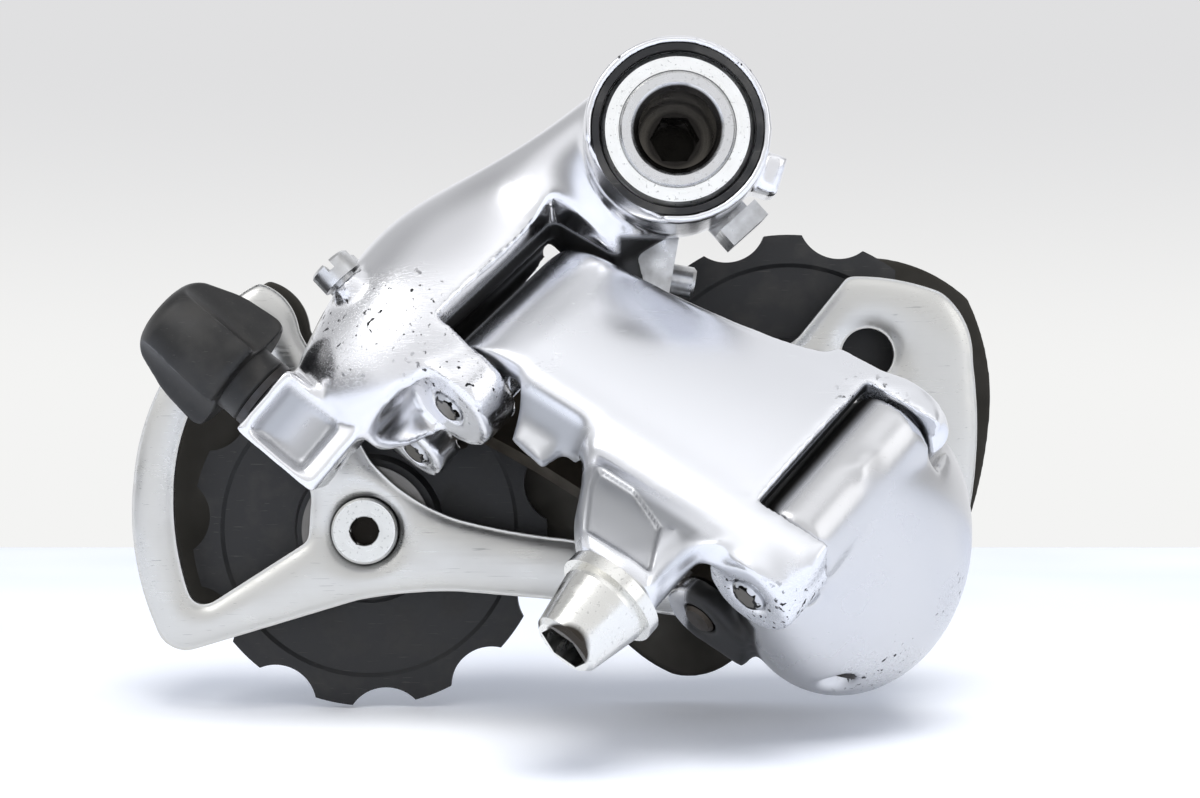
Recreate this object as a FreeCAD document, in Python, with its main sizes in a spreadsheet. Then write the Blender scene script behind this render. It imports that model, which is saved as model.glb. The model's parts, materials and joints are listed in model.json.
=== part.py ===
"""Rear bicycle derailleur: a slant parallelogram derailleur with a short cage.

Millimetres.  The origin is the mounting bolt's axis at the hanger face, +X is the bike's forward
direction, +Y points inboard to the wheel and +Z is up.  The derailleur is at rest: links out over
the smallest sprocket, cage swung back against its stop.

Two kinds of frame are used.  A "face" frame has its XY plane seen from outboard and its Z axis
outboard, so plates are drawn as seen from the drive side.  A "shaft" frame has its Z axis along a
shaft, so turned pieces are profiles of (radius, height) spun about Z.
"""
import FreeCAD, Part
import Sketcher
import math
import os
import re

Vector = FreeCAD.Vector
Placement = FreeCAD.Placement
Rotation = FreeCAD.Rotation

SIZES = {
    # fits
    "press_gap": 0.01, "run_gap": 0.05, "open_gap": 0.15, "sweep_gap": 0.5,
    # parallelogram: pin lean in side view and inboard, links' outward lean at rest, in degrees
    "pin_heading": 45.4, "pin_tilt": 26.1, "link_swing": 27, "link_travel": 54,
    "link_reach": 42, "pin_spacing": 18, "pin_radius": 2, "pin_bush_radius": 2.8,
    "first_pin_x": -16.66, "first_pin_out": 11.62, "first_pin_z": -21.43,
    # mounting bolt
    "thread_radius": 5, "thread_reach": 9, "thread_tip": 0.8, "shank_radius": 6,
    "bolt_head_radius": 6.5, "bolt_head_seat": 21, "bolt_face": 25.4, "bolt_edge": 0.3,
    "bolt_bore_radius": 4.35, "bolt_bore_rim": 0.85, "bolt_bore_floor": 16.4,
    "key_flats": 5, "key_depth": 6,
    "clip_groove_radius": 5.4, "clip_seat": 0.7, "clip_thickness": 0.9, "clip_radius": 7.6,
    "clip_side_gap": 0.05, "clip_sweep": 320,
    # mounting bush, spring and seal
    "bush_radius": 8.45, "bush_face": 25.2, "bush_collar_seat": 18, "bush_waist_radius": 7,
    "bush_rear": 4, "bush_edge": 0.4,
    "seal_inner": 8.75, "seal_outer": 9.5, "seal_front": 25.5, "seal_rear": 24.2,
    "boss_spring_coil": 8.1, "boss_spring_wire": 0.65, "boss_spring_pitch": 2.5,
    "boss_spring_rear": 5.6, "boss_spring_rise": 9.6,
    # stopper plate and its screw
    "stopper_radius": 9.9, "stopper_rear": 1.8, "stopper_thickness": 1.4,
    "tab_heading": -48, "tab_reach": 13.6, "tab_width": 5.4, "tab_thickness": 2.4,
    "tab_front": 13,
    "screw_lug_heading": -100, "screw_lug_reach": 17.6, "screw_lug_width": 5.6,
    "screw_lug_thickness": 3.2, "screw_lug_rear": -6.4, "screw_lug_radius": 14.6,
    "adjuster_radius": 1.95, "adjuster_length": 10, "adjuster_head_radius": 2.9,
    "adjuster_head": 2.4, "adjuster_out": -3.2, "adjuster_gap": 2.5,
    # mounting knuckle
    "boss_radius": 10.5, "boss_face": 26, "boss_rear": 4.6, "boss_chamber_radius": 9.3,
    "boss_chamber_front": 17.4, "boss_seal_floor": 24.1,
    "arm_heading": 223.8,
    "hanger_clear_radius": 19.3, "hanger_clear_out": 4.4,
    "ear_radius": 6, "ear_clear_radius": 5, "ear_length": 5.4, "ear_face": 14.9, "upper_ear_length": 3.2,
    "upper_ear_face": 14,
    "bay_low": 9.4, "bay_high": 10.8, "bay_back": 5.3, "bay_inner_back": 9.5,
    "lug_radius": 4.2, "lug_length": 4.2, "lug_face": 14.6, "wall_thickness": 7,
    "wall_inner": 12.5,
    "knuckle_stop_heading": -17, "knuckle_stop_radius": 13.4, "knuckle_stop_width": 5,
    # limit screws
    "limit_radius": 1.5, "limit_length": 13, "limit_head_radius": 2.6, "limit_head": 2.6,
    "limit_x": -39.4, "limit_z": -15.1, "limit_out": 14, "limit_spacing": 7,
    "limit_heading": 133, "limit_boss_length": 6, "slot_width": 0.9, "slot_depth": 1.1,
    # barrel adjuster and its holder
    "barrel_x": -47.3, "barrel_out": 14, "barrel_z": -29.8, "barrel_heading": 140,
    "holder_width": 9.2, "holder_depth": 11, "holder_length": 11.5, "holder_rim": 0.9,
    "saddle_radius": 8, "saddle_depth": 1.7,
    "barrel_thread_radius": 2.5, "barrel_thread_reach": 8, "cable_hole_radius": 1.1,
    "detent_radius": 4.3, "detent_thickness": 0.9, "detent_seat": 0.15,
    "neck_radius": 4.1, "neck_length": 3.2, "neck_seat": 1.2, "sleeve_radius": 3.8,
    "sleeve_end": 14.6, "inlet_radius": 2.75, "inlet_floor": 6.4,
    "knob_seat": 3.9, "knob_end": 15.8, "knob_skirt_radius": 7.55, "knob_tip_radius": 5,
    "knob_belly_radius": 7, "knob_belly": 9.4, "knob_flute_radius": 4.4,
    "knob_flute_place": 10.2, "knob_lobes": 3, "knob_opening": 3.2,
    # outer link
    "plate_back": 2.6, "plate_front": 6.4, "arm_front": 4.8, "link_end_back": 3.9,
    "barrel_radius": 4.4, "link_low": 9, "link_high": 9.2,
    "link_ear_radius": 5.5, "link_ear_low": 7, "link_ear_bottom": 14.2, "link_ear_high": 13.3,
    "link_ear_top": 16.9, "pocket_depth": 1.4,
    "clamp_x": 32.4, "clamp_out": 4.6, "clamp_face": 24.2, "clamp_boss_radius": 4.4,
    "clamp_boss_length": 8.4, "clamp_thread_radius": 2.5, "clamp_thread_depth": 7.6,
    "washer_radius": 5.7, "washer_thickness": 1.4,
    "clamp_head_radius": 4.9, "clamp_tip_radius": 3.45, "clamp_head": 7, "clamp_key_depth": 4.5,
    # inner link
    "inner_barrel_radius": 4.1, "inner_half": 9.2, "inner_thickness": 2.6, "inner_back": -0.2,
    "inner_window": 22, "inner_window_height": 9,
    "return_coil": 2.5, "return_wire": 0.6, "return_pitch": 2.1, "return_leg": 1.9,
    "return_end": 12.5, "return_catch": 8,
    # pulley knuckle
    "pulley_pivot_x": 21, "pulley_pivot_z": -51.3, "housing_radius": 13.4, "housing_rear": -2.6,
    "spring_chamber_radius": 9.9, "spring_chamber_front": 3.2, "axle_bore_front": 22,
    "axle_radius": 5, "axle_front": 21.4, "axle_flange": 7.5, "axle_rivet_radius": 4.5,
    "axle_groove_radius": 4.2, "axle_groove": 16.6, "axle_groove_width": 4.3,
    "knuckle_barrel_radius": 5.2, "knuckle_lug_radius": 4.8, "knuckle_lug_root": 6.5,
    "knuckle_lug_length": 2.8, "knuckle_lug_low": 2.2,
    "cage_spring_coil": 8.1, "cage_spring_wire": 0.85, "cage_spring_pitch": 1.9,
    "cage_spring_rear": -1.5, "cage_spring_rise": 3.6,
    "shield_inner": 10.9, "shield_outer": 12.1, "shield_seat": -1.8, "shield_rear": -3.2,
    "grub_heading": -104, "grub_radius": 2, "grub_tip": 4.3, "grub_length": 6,
    "grub_flats": 2, "grub_key_depth": 2,
    "stop_ring_radius": 15.4, "stop_pin_radius": 1.7, "stop_pin_heading": 150,
    "stop_pin_front": 0.6, "stop_lug_width": 4, "stop_gap": 0.2,
    # cage
    "plate_out": -3.6, "outer_plate": 2.2, "cage_gap": 8.2, "inner_plate": 1.4,
    "guide_x": 15.6, "guide_z": -31.6, "tension_x": -38.2, "tension_z": -46.5,
    "cage_hub_radius": 12.6, "cage_lighten_x": 25.1, "cage_lighten_z": -24.3,
    "cage_lighten_radius": 3.3, "pulley_bolt_radius": 2.5, "pulley_bolt_head_radius": 4.2,
    "pulley_bolt_head": 1.5, "pulley_bolt_seat": 1.4, "pulley_key_flats": 3.4,
    "pulley_key_depth": 1.4,
    # pulleys
    "tooth_count": 11, "tip_radius": 22.8, "valley_radius": 5.2, "valley_place": 25.7,
    "tooth_width": 2.2, "tip_width": 1.54, "web_width": 1.5, "rim_inner": 18.6, "hub_radius": 9,
    "hub_width": 5.4,
    "spacer_radius": 3.6, "float_sleeve_radius": 4.9, "float_sleeve_width": 6.2,
    "cap_radius": 8.2, "cap_thickness": 0.35, "race_inner": 4.35, "race_outer": 6.35,
    "race_rim": 7.6, "race_width": 4.4, "ball_radius": 0.98, "ball_count": 9,
}

doc = FreeCAD.newDocument("RearDerailleur")
sheet = doc.addObject("Spreadsheet::Sheet", "Sizes")
for row, (alias, number) in enumerate(SIZES.items(), start=1):
    sheet.set("A%d" % row, alias)
    sheet.set("B%d" % row, str(number))
    sheet.setAlias("B%d" % row, alias)
doc.recompute()

NODES = []
COIL_CHORDS, WIRE_SIDES = 14, 8


def sized(text):
    """Turn size names in an expression into references to the sheet."""
    return re.sub(r"[a-z][a-z_]*", lambda m: "Sizes." + m[0] if m[0] in SIZES else m[0], str(text))


def value(text):
    """Work an expression of size names out as a number."""
    return float(sheet.evalExpression(sized(text)))


def bind(item, **sizes):
    """Bind properties of a document object to expressions of size names."""
    for name, text in sizes.items():
        item.setExpression(name, sized(text))
    return item


# ---- frames ------------------------------------------------------------------------------------

def frame(base, along_x, along_z):
    """A frame at base with the given X and Z directions."""
    return Placement(base, Rotation(along_x, along_z.cross(along_x), along_z, "ZXY"))


def moved(place, across=0, up=0, out=0):
    """The same frame moved along its own axes by expressions of size names."""
    return place * Placement(Vector(value(across), value(up), value(out)), Rotation())


def turned_about_z(place, degrees):
    """The same frame turned about its own Z axis."""
    return place * Placement(Vector(), Rotation(Vector(0, 0, 1), degrees))


def polar(heading, radius=1.0):
    """A point of the side view at a heading in degrees."""
    angle = math.radians(heading)
    return Vector(radius * math.cos(angle), 0, radius * math.sin(angle))


ALONG, INBOARD, UP = Vector(1, 0, 0), Vector(0, 1, 0), Vector(0, 0, 1)
FACE = frame(Vector(), ALONG, -INBOARD)

tilt, swing = math.radians(value("pin_tilt")), math.radians(value("link_swing"))
pin_up = polar(value("pin_heading")) * math.cos(tilt) + INBOARD * math.sin(tilt)
level = -polar(value("pin_heading") + 90)
spread = pin_up.cross(level)
link_along = level * math.cos(swing) - spread * math.sin(swing)
link_in = pin_up.cross(link_along)

first_pin = Vector(value("first_pin_x"), -value("first_pin_out"), value("first_pin_z"))
PINS = {
    "outer_mount": first_pin,
    "inner_mount": first_pin + spread * value("pin_spacing"),
    "outer_pulley": first_pin + link_along * value("link_reach"),
    "inner_pulley": first_pin + link_along * value("link_reach") + spread * value("pin_spacing"),
}


def link_face(pin):
    """Face frame of a link: X along the link, Y up the pins, Z outboard."""
    return frame(PINS[pin], link_along, -link_in)


def pin_shaft(pin, height=0):
    """Shaft frame of a pin: Z up the pin, X along the link, Y inboard."""
    return moved(frame(PINS[pin], link_along, pin_up), out=height)


def face_at(x, z, out=0):
    """Face frame at a point of the side view."""
    return moved(FACE, x, z, out)


# ---- features ----------------------------------------------------------------------------------

def node(item, label):
    """Name a finished sub-part and keep it for export."""
    item.Label = label
    NODES.append(item)
    return item


def new_body(name, place):
    """A PartDesign body at a frame."""
    body = doc.addObject("PartDesign::Body", name)
    body.Placement = place
    doc.recompute()
    return body


def new_sketch(body, plane, out="0", turn=0):
    """A sketch on one of the body's own origin planes, lifted and turned."""
    role = [f for f in body.Origin.OriginFeatures if f.Role == plane][0]
    sketch = body.newObject("Sketcher::SketchObject", body.Name + "Sketch")
    sketch.AttachmentSupport = [(role, "")]
    sketch.MapMode = "FlatFace"
    sketch.AttachmentOffset = Placement(Vector(), Rotation(Vector(0, 0, 1), turn))
    sketch.setExpression("AttachmentOffset.Base.z", sized(out))
    return sketch


def outline(sketch, points):
    """Draw a closed outline.

    A point is (x, y) after a straight side, or (x, y, radius) after an arc of that radius which
    bulges to the right of its chord, to the left if the radius is written with a minus.
    """
    count = len(points)
    spots = [Vector(value(p[0]), value(p[1]), 0) for p in points]
    starts, ends = [], []
    for i in range(count):
        here, after, side = spots[i], spots[(i + 1) % count], points[(i + 1) % count]
        if len(side) == 2:
            sketch.addGeometry(Part.LineSegment(here, after), False)
            starts.append(1)
            ends.append(2)
            continue
        radius = value(side[2])
        chord = after - here
        height = math.sqrt(max(radius ** 2 - chord.Length ** 2 / 4, 0))
        normal = Vector(-chord.y, chord.x, 0).normalize()
        centre = (here + after) / 2 + normal * math.copysign(height, radius)
        first, last = (here, after) if radius > 0 else (after, here)
        circle = Part.Circle(centre, Vector(0, 0, 1), abs(radius))
        begin = math.atan2(first.y - centre.y, first.x - centre.x)
        finish = math.atan2(last.y - centre.y, last.x - centre.x)
        sketch.addGeometry(Part.ArcOfCircle(circle, begin, finish), False)
        starts.append(1 if radius > 0 else 2)
        ends.append(2 if radius > 0 else 1)
        mark = sketch.addConstraint(Sketcher.Constraint("Radius", i, abs(radius)))
        sketch.setExpression("Constraints[%d]" % mark, sized("abs(%s)" % side[2]))
    for i in range(count):
        after = (i + 1) % count
        sketch.addConstraint(Sketcher.Constraint("Coincident", i, ends[i], after, starts[after]))
    for i, point in enumerate(points):
        for kind, text, place in (("DistanceX", point[0], spots[i].x), ("DistanceY", point[1], spots[i].y)):
            mark = sketch.addConstraint(Sketcher.Constraint(kind, -1, 1, i, starts[i], place))
            sketch.setExpression("Constraints[%d]" % mark, sized(text))
    return sketch


def circle(sketch, x, y, radius):
    """Draw a circle whose centre and radius are expressions."""
    spot = Vector(value(x), value(y), 0)
    mark = sketch.addGeometry(Part.Circle(spot, Vector(0, 0, 1), value(radius)), False)
    for kind, text, place in (("DistanceX", x, spot.x), ("DistanceY", y, spot.y)):
        index = sketch.addConstraint(Sketcher.Constraint(kind, -1, 1, mark, 3, place))
        sketch.setExpression("Constraints[%d]" % index, sized(text))
    index = sketch.addConstraint(Sketcher.Constraint("Radius", mark, value(radius)))
    sketch.setExpression("Constraints[%d]" % index, sized(radius))
    return sketch


def feature(body, kind, sketch, **sizes):
    """Add a PartDesign feature made from a sketch."""
    item = body.newObject("PartDesign::" + kind, body.Name + kind)
    item.Profile = sketch
    bind(item, **sizes)
    body.Tip = item
    doc.recompute()
    return item


def pad(body, sketch, length):
    """Raise a sketch towards its own Z."""
    return feature(body, "Pad", sketch, Length=length)


def pocket(body, sketch, depth, upwards=False):
    """Cut a sketch downwards into the body, or upwards, and test that it cut something."""
    before = body.Shape.Volume
    item = feature(body, "Pocket", sketch, Length=depth)
    item.Reversed = upwards
    doc.recompute()
    if body.Shape.Volume >= before:
        raise RuntimeError("pocket cuts nothing in " + body.Name)
    return item


def spin(body, points, sweep=360):
    """Spin a profile of (radius, height) points about the body's Z axis."""
    sketch = outline(new_sketch(body, "XZ_Plane"), points)
    item = body.newObject("PartDesign::Revolution", body.Name + "Spin")
    item.Profile = sketch
    item.ReferenceAxis = (sketch, ["V_Axis"])
    item.Angle = sweep
    body.Tip = item
    doc.recompute()
    return item


def ring(inner, outer, low, high):
    """Profile of a plain ring."""
    return [(inner, low), (outer, low), (outer, high), (inner, high)]


def turned(label, place, points, sweep=360):
    """A turned piece as a node."""
    body = new_body(label.title().replace("_", ""), place)
    spin(body, points, sweep)
    return node(body, label)


def repeat(body, item, count):
    """Repeat a feature round the body's Z axis."""
    pattern = body.newObject("PartDesign::PolarPattern", body.Name + "Round")
    axis = [f for f in body.Origin.OriginFeatures if f.Role == "Z_Axis"][0]
    pattern.Originals = [item]
    pattern.Axis = (axis, [""])
    pattern.Angle = 360
    bind(pattern, Occurrences=count)
    body.Tip = pattern
    doc.recompute()
    return pattern


def hexagon(flats):
    """Outline of a hexagon of the given width across flats."""
    far, near, half = "%s / sqrt(3)" % flats, "%s / sqrt(12)" % flats, "%s / 2" % flats
    return [(far, "0"), (near, half), ("-(%s)" % near, half), ("-(%s)" % far, "0"),
            ("-(%s)" % near, "-(%s)" % half), (near, "-(%s)" % half)]


def hex_socket(body, flats, top, depth):
    """Cut a hexagon key socket down from a height."""
    pocket(body, outline(new_sketch(body, "XY_Plane", top), hexagon(flats)), depth)


def slot(body, top, reach):
    """Cut a screwdriver slot down from a height."""
    half = "slot_width / 2"
    points = [("-(%s)" % reach, "-" + half), (reach, "-" + half), (reach, half), ("-(%s)" % reach, half)]
    pocket(body, outline(new_sketch(body, "XY_Plane", top), points), "slot_depth")


def rod(place, radius, length, low="0"):
    """A cylinder along a shaft frame's Z from a height."""
    item = doc.addObject("Part::Cylinder", "Rod")
    item.Placement = moved(place, out=low)
    return bind(item, Radius=radius, Height=length)


def block(place, low, high):
    """A box in a frame between two corners, each three expressions of size names."""
    item = doc.addObject("Part::Box", "Block")
    item.Placement = moved(place, *low)
    sizes = ["(%s) - (%s)" % (b, a) for a, b in zip(low, high)]
    return bind(item, Length=sizes[0], Width=sizes[1], Height=sizes[2])


def joined(*items):
    """Fuse solids into one."""
    item = doc.addObject("Part::MultiFuse", "Joined")
    item.Shapes = list(items)
    item.Refine = True
    return item


def shared(*items):
    """Keep only what all solids share."""
    item = doc.addObject("Part::MultiCommon", "Shared")
    item.Shapes = list(items)
    return item


def less(base, *tools):
    """Cut solids away from a base."""
    item = doc.addObject("Part::Cut", "Less")
    item.Base = base
    item.Tool = tools[0] if len(tools) == 1 else joined(*tools)
    item.Refine = False
    return item


def grouped(label, *items):
    """Keep alike separate solids in one node."""
    item = doc.addObject("Part::Compound", "Group")
    item.Links = list(items)
    return node(item, label)


def sections_loft(rows):
    """Loft a smooth solid through ellipses: (frame, half width, half height) rows."""
    rings = []
    for place, wide, high in rows:
        ellipse = doc.addObject("Part::Ellipse", "Section")
        ellipse.Placement = place
        rings.append(bind(ellipse, MajorRadius=wide, MinorRadius=high))
    loft = doc.addObject("Part::Loft", "Form")
    loft.Sections = rings
    loft.Solid = True
    loft.Ruled = False
    return loft


def coil(label, place, radius, wire, pitch, rise, legs=None):
    """A coil spring rising along a shaft frame's Z: a flat-sided wire on a path of short chords.

    The legs are the lengths of two straight ends on the spring's axis, if it has them.
    """
    turns = value(rise) / value(pitch)
    steps = int(turns * COIL_CHORDS)
    spots = [Vector(0, 0, -value(legs[0])), Vector(0, 0, -value(wire))] if legs else []
    for step in range(steps + 1):
        angle = 2 * math.pi * turns * step / steps
        spots.append(Vector(value(radius) * math.cos(angle), value(radius) * math.sin(angle),
                            value(rise) * step / steps))
    if legs:
        spots += [Vector(0, 0, value(rise) + value(wire)), Vector(0, 0, value(rise) + value(legs[1]))]
    path = doc.addObject("Part::Polygon", "Path")
    path.Nodes = spots
    path.Placement = place
    section = doc.addObject("Part::RegularPolygon", "Wire")
    section.Polygon = WIRE_SIDES
    turn = Placement(Vector(), Rotation(Vector(1, 0, 0), 90))
    section.Placement = moved(place, out="-(%s)" % legs[0]) if legs else moved(place, radius) * turn
    bind(section, Circumradius=wire)
    sweep = doc.addObject("Part::Sweep", "Coil")
    sweep.Sections = [section]
    sweep.Spine = (path, [])
    sweep.Solid = True
    sweep.Transition = "Right corner"
    return node(sweep, label)


# ---- mounting bolt group -----------------------------------------------------------------------

def mounting_bolt():
    """Hanger bolt: thread inboard, clip groove, long shank, sunk hexagon socket outboard."""
    body = new_body("MountingBolt", FACE)
    spin(body, [
        ("0", "-thread_reach - thread_tip"),
        ("thread_radius - thread_tip", "-thread_reach - thread_tip"),
        ("thread_radius", "-thread_reach"), ("thread_radius", "0"), ("shank_radius", "0"),
        ("shank_radius", "clip_seat"), ("clip_groove_radius", "clip_seat"),
        ("clip_groove_radius", "clip_seat + clip_thickness + 2 * clip_side_gap"),
        ("shank_radius", "clip_seat + clip_thickness + 2 * clip_side_gap"),
        ("shank_radius", "bolt_head_seat"), ("bolt_head_radius", "bolt_head_seat"),
        ("bolt_head_radius", "bolt_face - bolt_edge"),
        ("bolt_head_radius - bolt_edge", "bolt_face"),
        ("bolt_bore_radius + bolt_bore_rim", "bolt_face"),
        ("bolt_bore_radius", "bolt_face - bolt_bore_rim"),
        ("bolt_bore_radius", "bolt_bore_floor"), ("0", "bolt_bore_floor")])
    hex_socket(body, "key_flats", "bolt_bore_floor", "key_depth")
    node(body, "mounting_bolt")


def mounting_bush():
    """Steel bush that the knuckle turns on, with a collar at its outboard end."""
    turned("mounting_bush", FACE, [
        ("shank_radius + run_gap", "bush_rear"), ("bush_waist_radius", "bush_rear"),
        ("bush_waist_radius", "bush_collar_seat"), ("bush_radius", "bush_collar_seat"),
        ("bush_radius", "bush_face - bush_edge"), ("bush_radius - bush_edge", "bush_face"),
        ("bolt_head_radius + run_gap", "bush_face"),
        ("bolt_head_radius + run_gap", "bolt_head_seat"),
        ("shank_radius + run_gap", "bolt_head_seat")])


def retaining_clip():
    """Open spring clip in the bolt's groove."""
    turned("retaining_clip", FACE, ring(
        "clip_groove_radius + clip_side_gap", "clip_radius", "clip_seat + clip_side_gap",
        "clip_seat + clip_side_gap + clip_thickness"), value("clip_sweep"))


def stopper_plate():
    """Pressed plate against the hanger: a folded tab for the knuckle's stop, a lug for the screw."""
    body = new_body("StopperPlate", FACE)
    pad(body, circle(new_sketch(body, "XY_Plane", "stopper_rear"), "0", "0", "stopper_radius"),
        "stopper_thickness")
    for heading, reach, wide in (("tab_heading", "tab_reach", "tab_width"),
                                 ("screw_lug_heading", "screw_lug_reach", "screw_lug_width")):
        arm = new_sketch(body, "XY_Plane", "stopper_rear", value(heading))
        half = wide + " / 2"
        pad(body, outline(arm, [("0", "-" + half), (reach, "-" + half), (reach, half), ("0", half)]),
            "stopper_thickness")
    fold = new_sketch(body, "XY_Plane", "stopper_rear", value("tab_heading"))
    outer, inner, half = "tab_reach", "tab_reach - tab_thickness", "tab_width / 2"
    pad(body, outline(fold, [(inner, "-" + half), (outer, "-" + half), (outer, half), (inner, half)]),
        "tab_front - stopper_rear")
    lug = new_sketch(body, "XY_Plane", "screw_lug_rear", value("screw_lug_heading"))
    low, high, half = "thread_radius + 6.4", "screw_lug_reach", "screw_lug_thickness / 2"
    pad(body, outline(lug, [(low, "-" + half), (high, "-" + half), (high, half), (low, half)]),
        "stopper_rear + stopper_thickness - screw_lug_rear")
    bore = rod(FACE, "shank_radius + run_gap", "stopper_thickness + 2", "stopper_rear - 1")
    screw_hole = rod(adjuster_frame(), "adjuster_radius + press_gap", "adjuster_length * 2",
                     "-adjuster_length")
    node(less(body, bore, screw_hole), "stopper_plate")


def adjuster_frame():
    """Shaft frame of the body-angle screw: square to its lug, Z out of the head."""
    heading = value("screw_lug_heading")
    base = polar(heading, value("screw_lug_radius")) - INBOARD * value("adjuster_out")
    return moved(frame(base, INBOARD, -polar(heading + 90)),
                 out="screw_lug_thickness / 2 + adjuster_gap")


def angle_screw():
    """Slotted screw that sets the body's angle against the hanger."""
    body = new_body("AngleScrew", adjuster_frame())
    spin(body, [("0", "-adjuster_length"), ("adjuster_radius - 0.4", "-adjuster_length"),
                ("adjuster_radius", "-adjuster_length + 0.4"), ("adjuster_radius", "0"),
                ("adjuster_head_radius", "0"), ("adjuster_head_radius", "adjuster_head"),
                ("0", "adjuster_head")])
    slot(body, "adjuster_head", "adjuster_head_radius + 1")
    node(body, "angle_screw")


# ---- mounting knuckle --------------------------------------------------------------------------

# Sections of the knuckle's arm: distance from the bolt, shift up and left, distance outboard of
# the hanger face, half width, half depth, and the roll in degrees that lays the arm's front flush
# with the outer link.
ARM = [
    (2, 0.8, 12.6, 9.9, 8.4, 0), (12, 3.2, 8.4, 9.9, 5.8, 16), (20, 4.8, 7.6, 11.2, 5.4, 26),
    (27, 5.4, 9.2, 12.4, 6.6, 29), (35, 5, 11.6, 12.6, 7.8, 30), (43, 4.4, 13, 11, 7.2, 30),
    (49.5, 5, 13.4, 7.8, 4.6, 30),
]


def arm_frame(along, shift, out, roll):
    """Frame of a section across the arm: X across it, Z along it."""
    heading = value("arm_heading")
    base = polar(heading, along) + polar(heading - 90, shift) - INBOARD * out
    across = polar(heading - 90) * math.cos(math.radians(roll)) + INBOARD * math.sin(math.radians(roll))
    return frame(base, across, polar(heading))


def swept_clear(pin, back, depth, low, high, sign):
    """Room for a link about a pin over its whole travel, as boxes turned in equal steps."""
    steps = 4
    tools = []
    for step in range(steps):
        place = turned_about_z(pin_shaft(pin), value("link_travel") * step / (steps - 1))
        near, far = ("-(%s)" % back, "60") if sign > 0 else ("-60", back)
        tools.append(block(place, (near, "-(%s)" % depth[0], "-(%s)" % low), (far, depth[1], high)))
    return tools


def knuckle_body():
    """Forged mounting knuckle: boss, arm, pin ears, inner wall with lugs and barrel holder."""
    sections = []
    for along, shift, out, wide, deep, roll in ARM:
        sections.append((arm_frame(along, shift, out, roll), str(wide), str(deep)))
    arm = sections_loft(sections)
    boss = rod(FACE, "boss_radius", "boss_face - boss_rear", "boss_rear")
    outer_pin, inner_pin = pin_shaft("outer_mount"), pin_shaft("inner_mount")
    lower_ear = rod(outer_pin, "ear_radius", "ear_length", "-ear_face")
    upper_ear = rod(outer_pin, "ear_radius", "upper_ear_length", "upper_ear_face - upper_ear_length")
    ear_root = block(outer_pin, ("-ear_radius - 4", "-ear_radius", "-ear_face"),
                     ("0", "ear_radius - 2", "-ear_face + ear_length"))
    wall = block(inner_pin, ("-inner_barrel_radius - 1 - wall_thickness", "-wall_inner", "-lug_face"),
                 ("-inner_barrel_radius - 1", "lug_radius", "lug_face"))
    lugs = []
    for low, high in (("-lug_face", "-lug_face + lug_length"), ("lug_face - lug_length", "lug_face")):
        lugs.append(rod(inner_pin, "lug_radius", "lug_length", low))
        lugs.append(block(inner_pin, ("-inner_barrel_radius - 2", "-lug_radius", low),
                          ("0", "lug_radius", high)))
    stop = block(turned_about_z(FACE, value("knuckle_stop_heading")),
                 ("boss_radius - 2", "-knuckle_stop_width / 2", "boss_rear + 1"),
                 ("knuckle_stop_radius", "knuckle_stop_width / 2", "tab_front"))
    seats = [rod(limit_frame(index), "limit_head_radius - 0.2", "limit_boss_length",
                 "-limit_boss_length - 0.3") for index in (0, 1)]
    return joined(arm, boss, lower_ear, ear_root, upper_ear, wall, stop, barrel_holder(), *lugs,
                  *seats)


def barrel_frame():
    """Shaft frame of the barrel adjuster: origin at the holder's end face, Z out of it."""
    base = Vector(value("barrel_x"), -value("barrel_out"), value("barrel_z"))
    return frame(base, INBOARD, polar(value("barrel_heading")))


def barrel_holder():
    """Rounded block that holds the cable's barrel adjuster."""
    place = barrel_frame()
    box = block(place, ("-holder_depth / 2", "-holder_width / 2", "-holder_length"),
                ("holder_depth / 2", "holder_width / 2", "0"))
    bed = moved(place, "-holder_depth / 2 - saddle_radius + saddle_depth", "-holder_width / 2 - 1",
                "-holder_length / 2")
    saddle = rod(bed * Placement(Vector(), Rotation(Vector(1, 0, 0), -90)), "saddle_radius",
                 "holder_width - holder_rim + 1")
    return less(box, saddle)


def limit_frame(index):
    """Shaft frame of a limit screw, Z out of its head, origin under the head."""
    out = value("limit_out - limit_spacing") if index else value("limit_out")
    base = Vector(value("limit_x"), -out, value("limit_z")) - polar(value("limit_heading"), 1.3)
    return frame(base, INBOARD, polar(value("limit_heading")))


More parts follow.
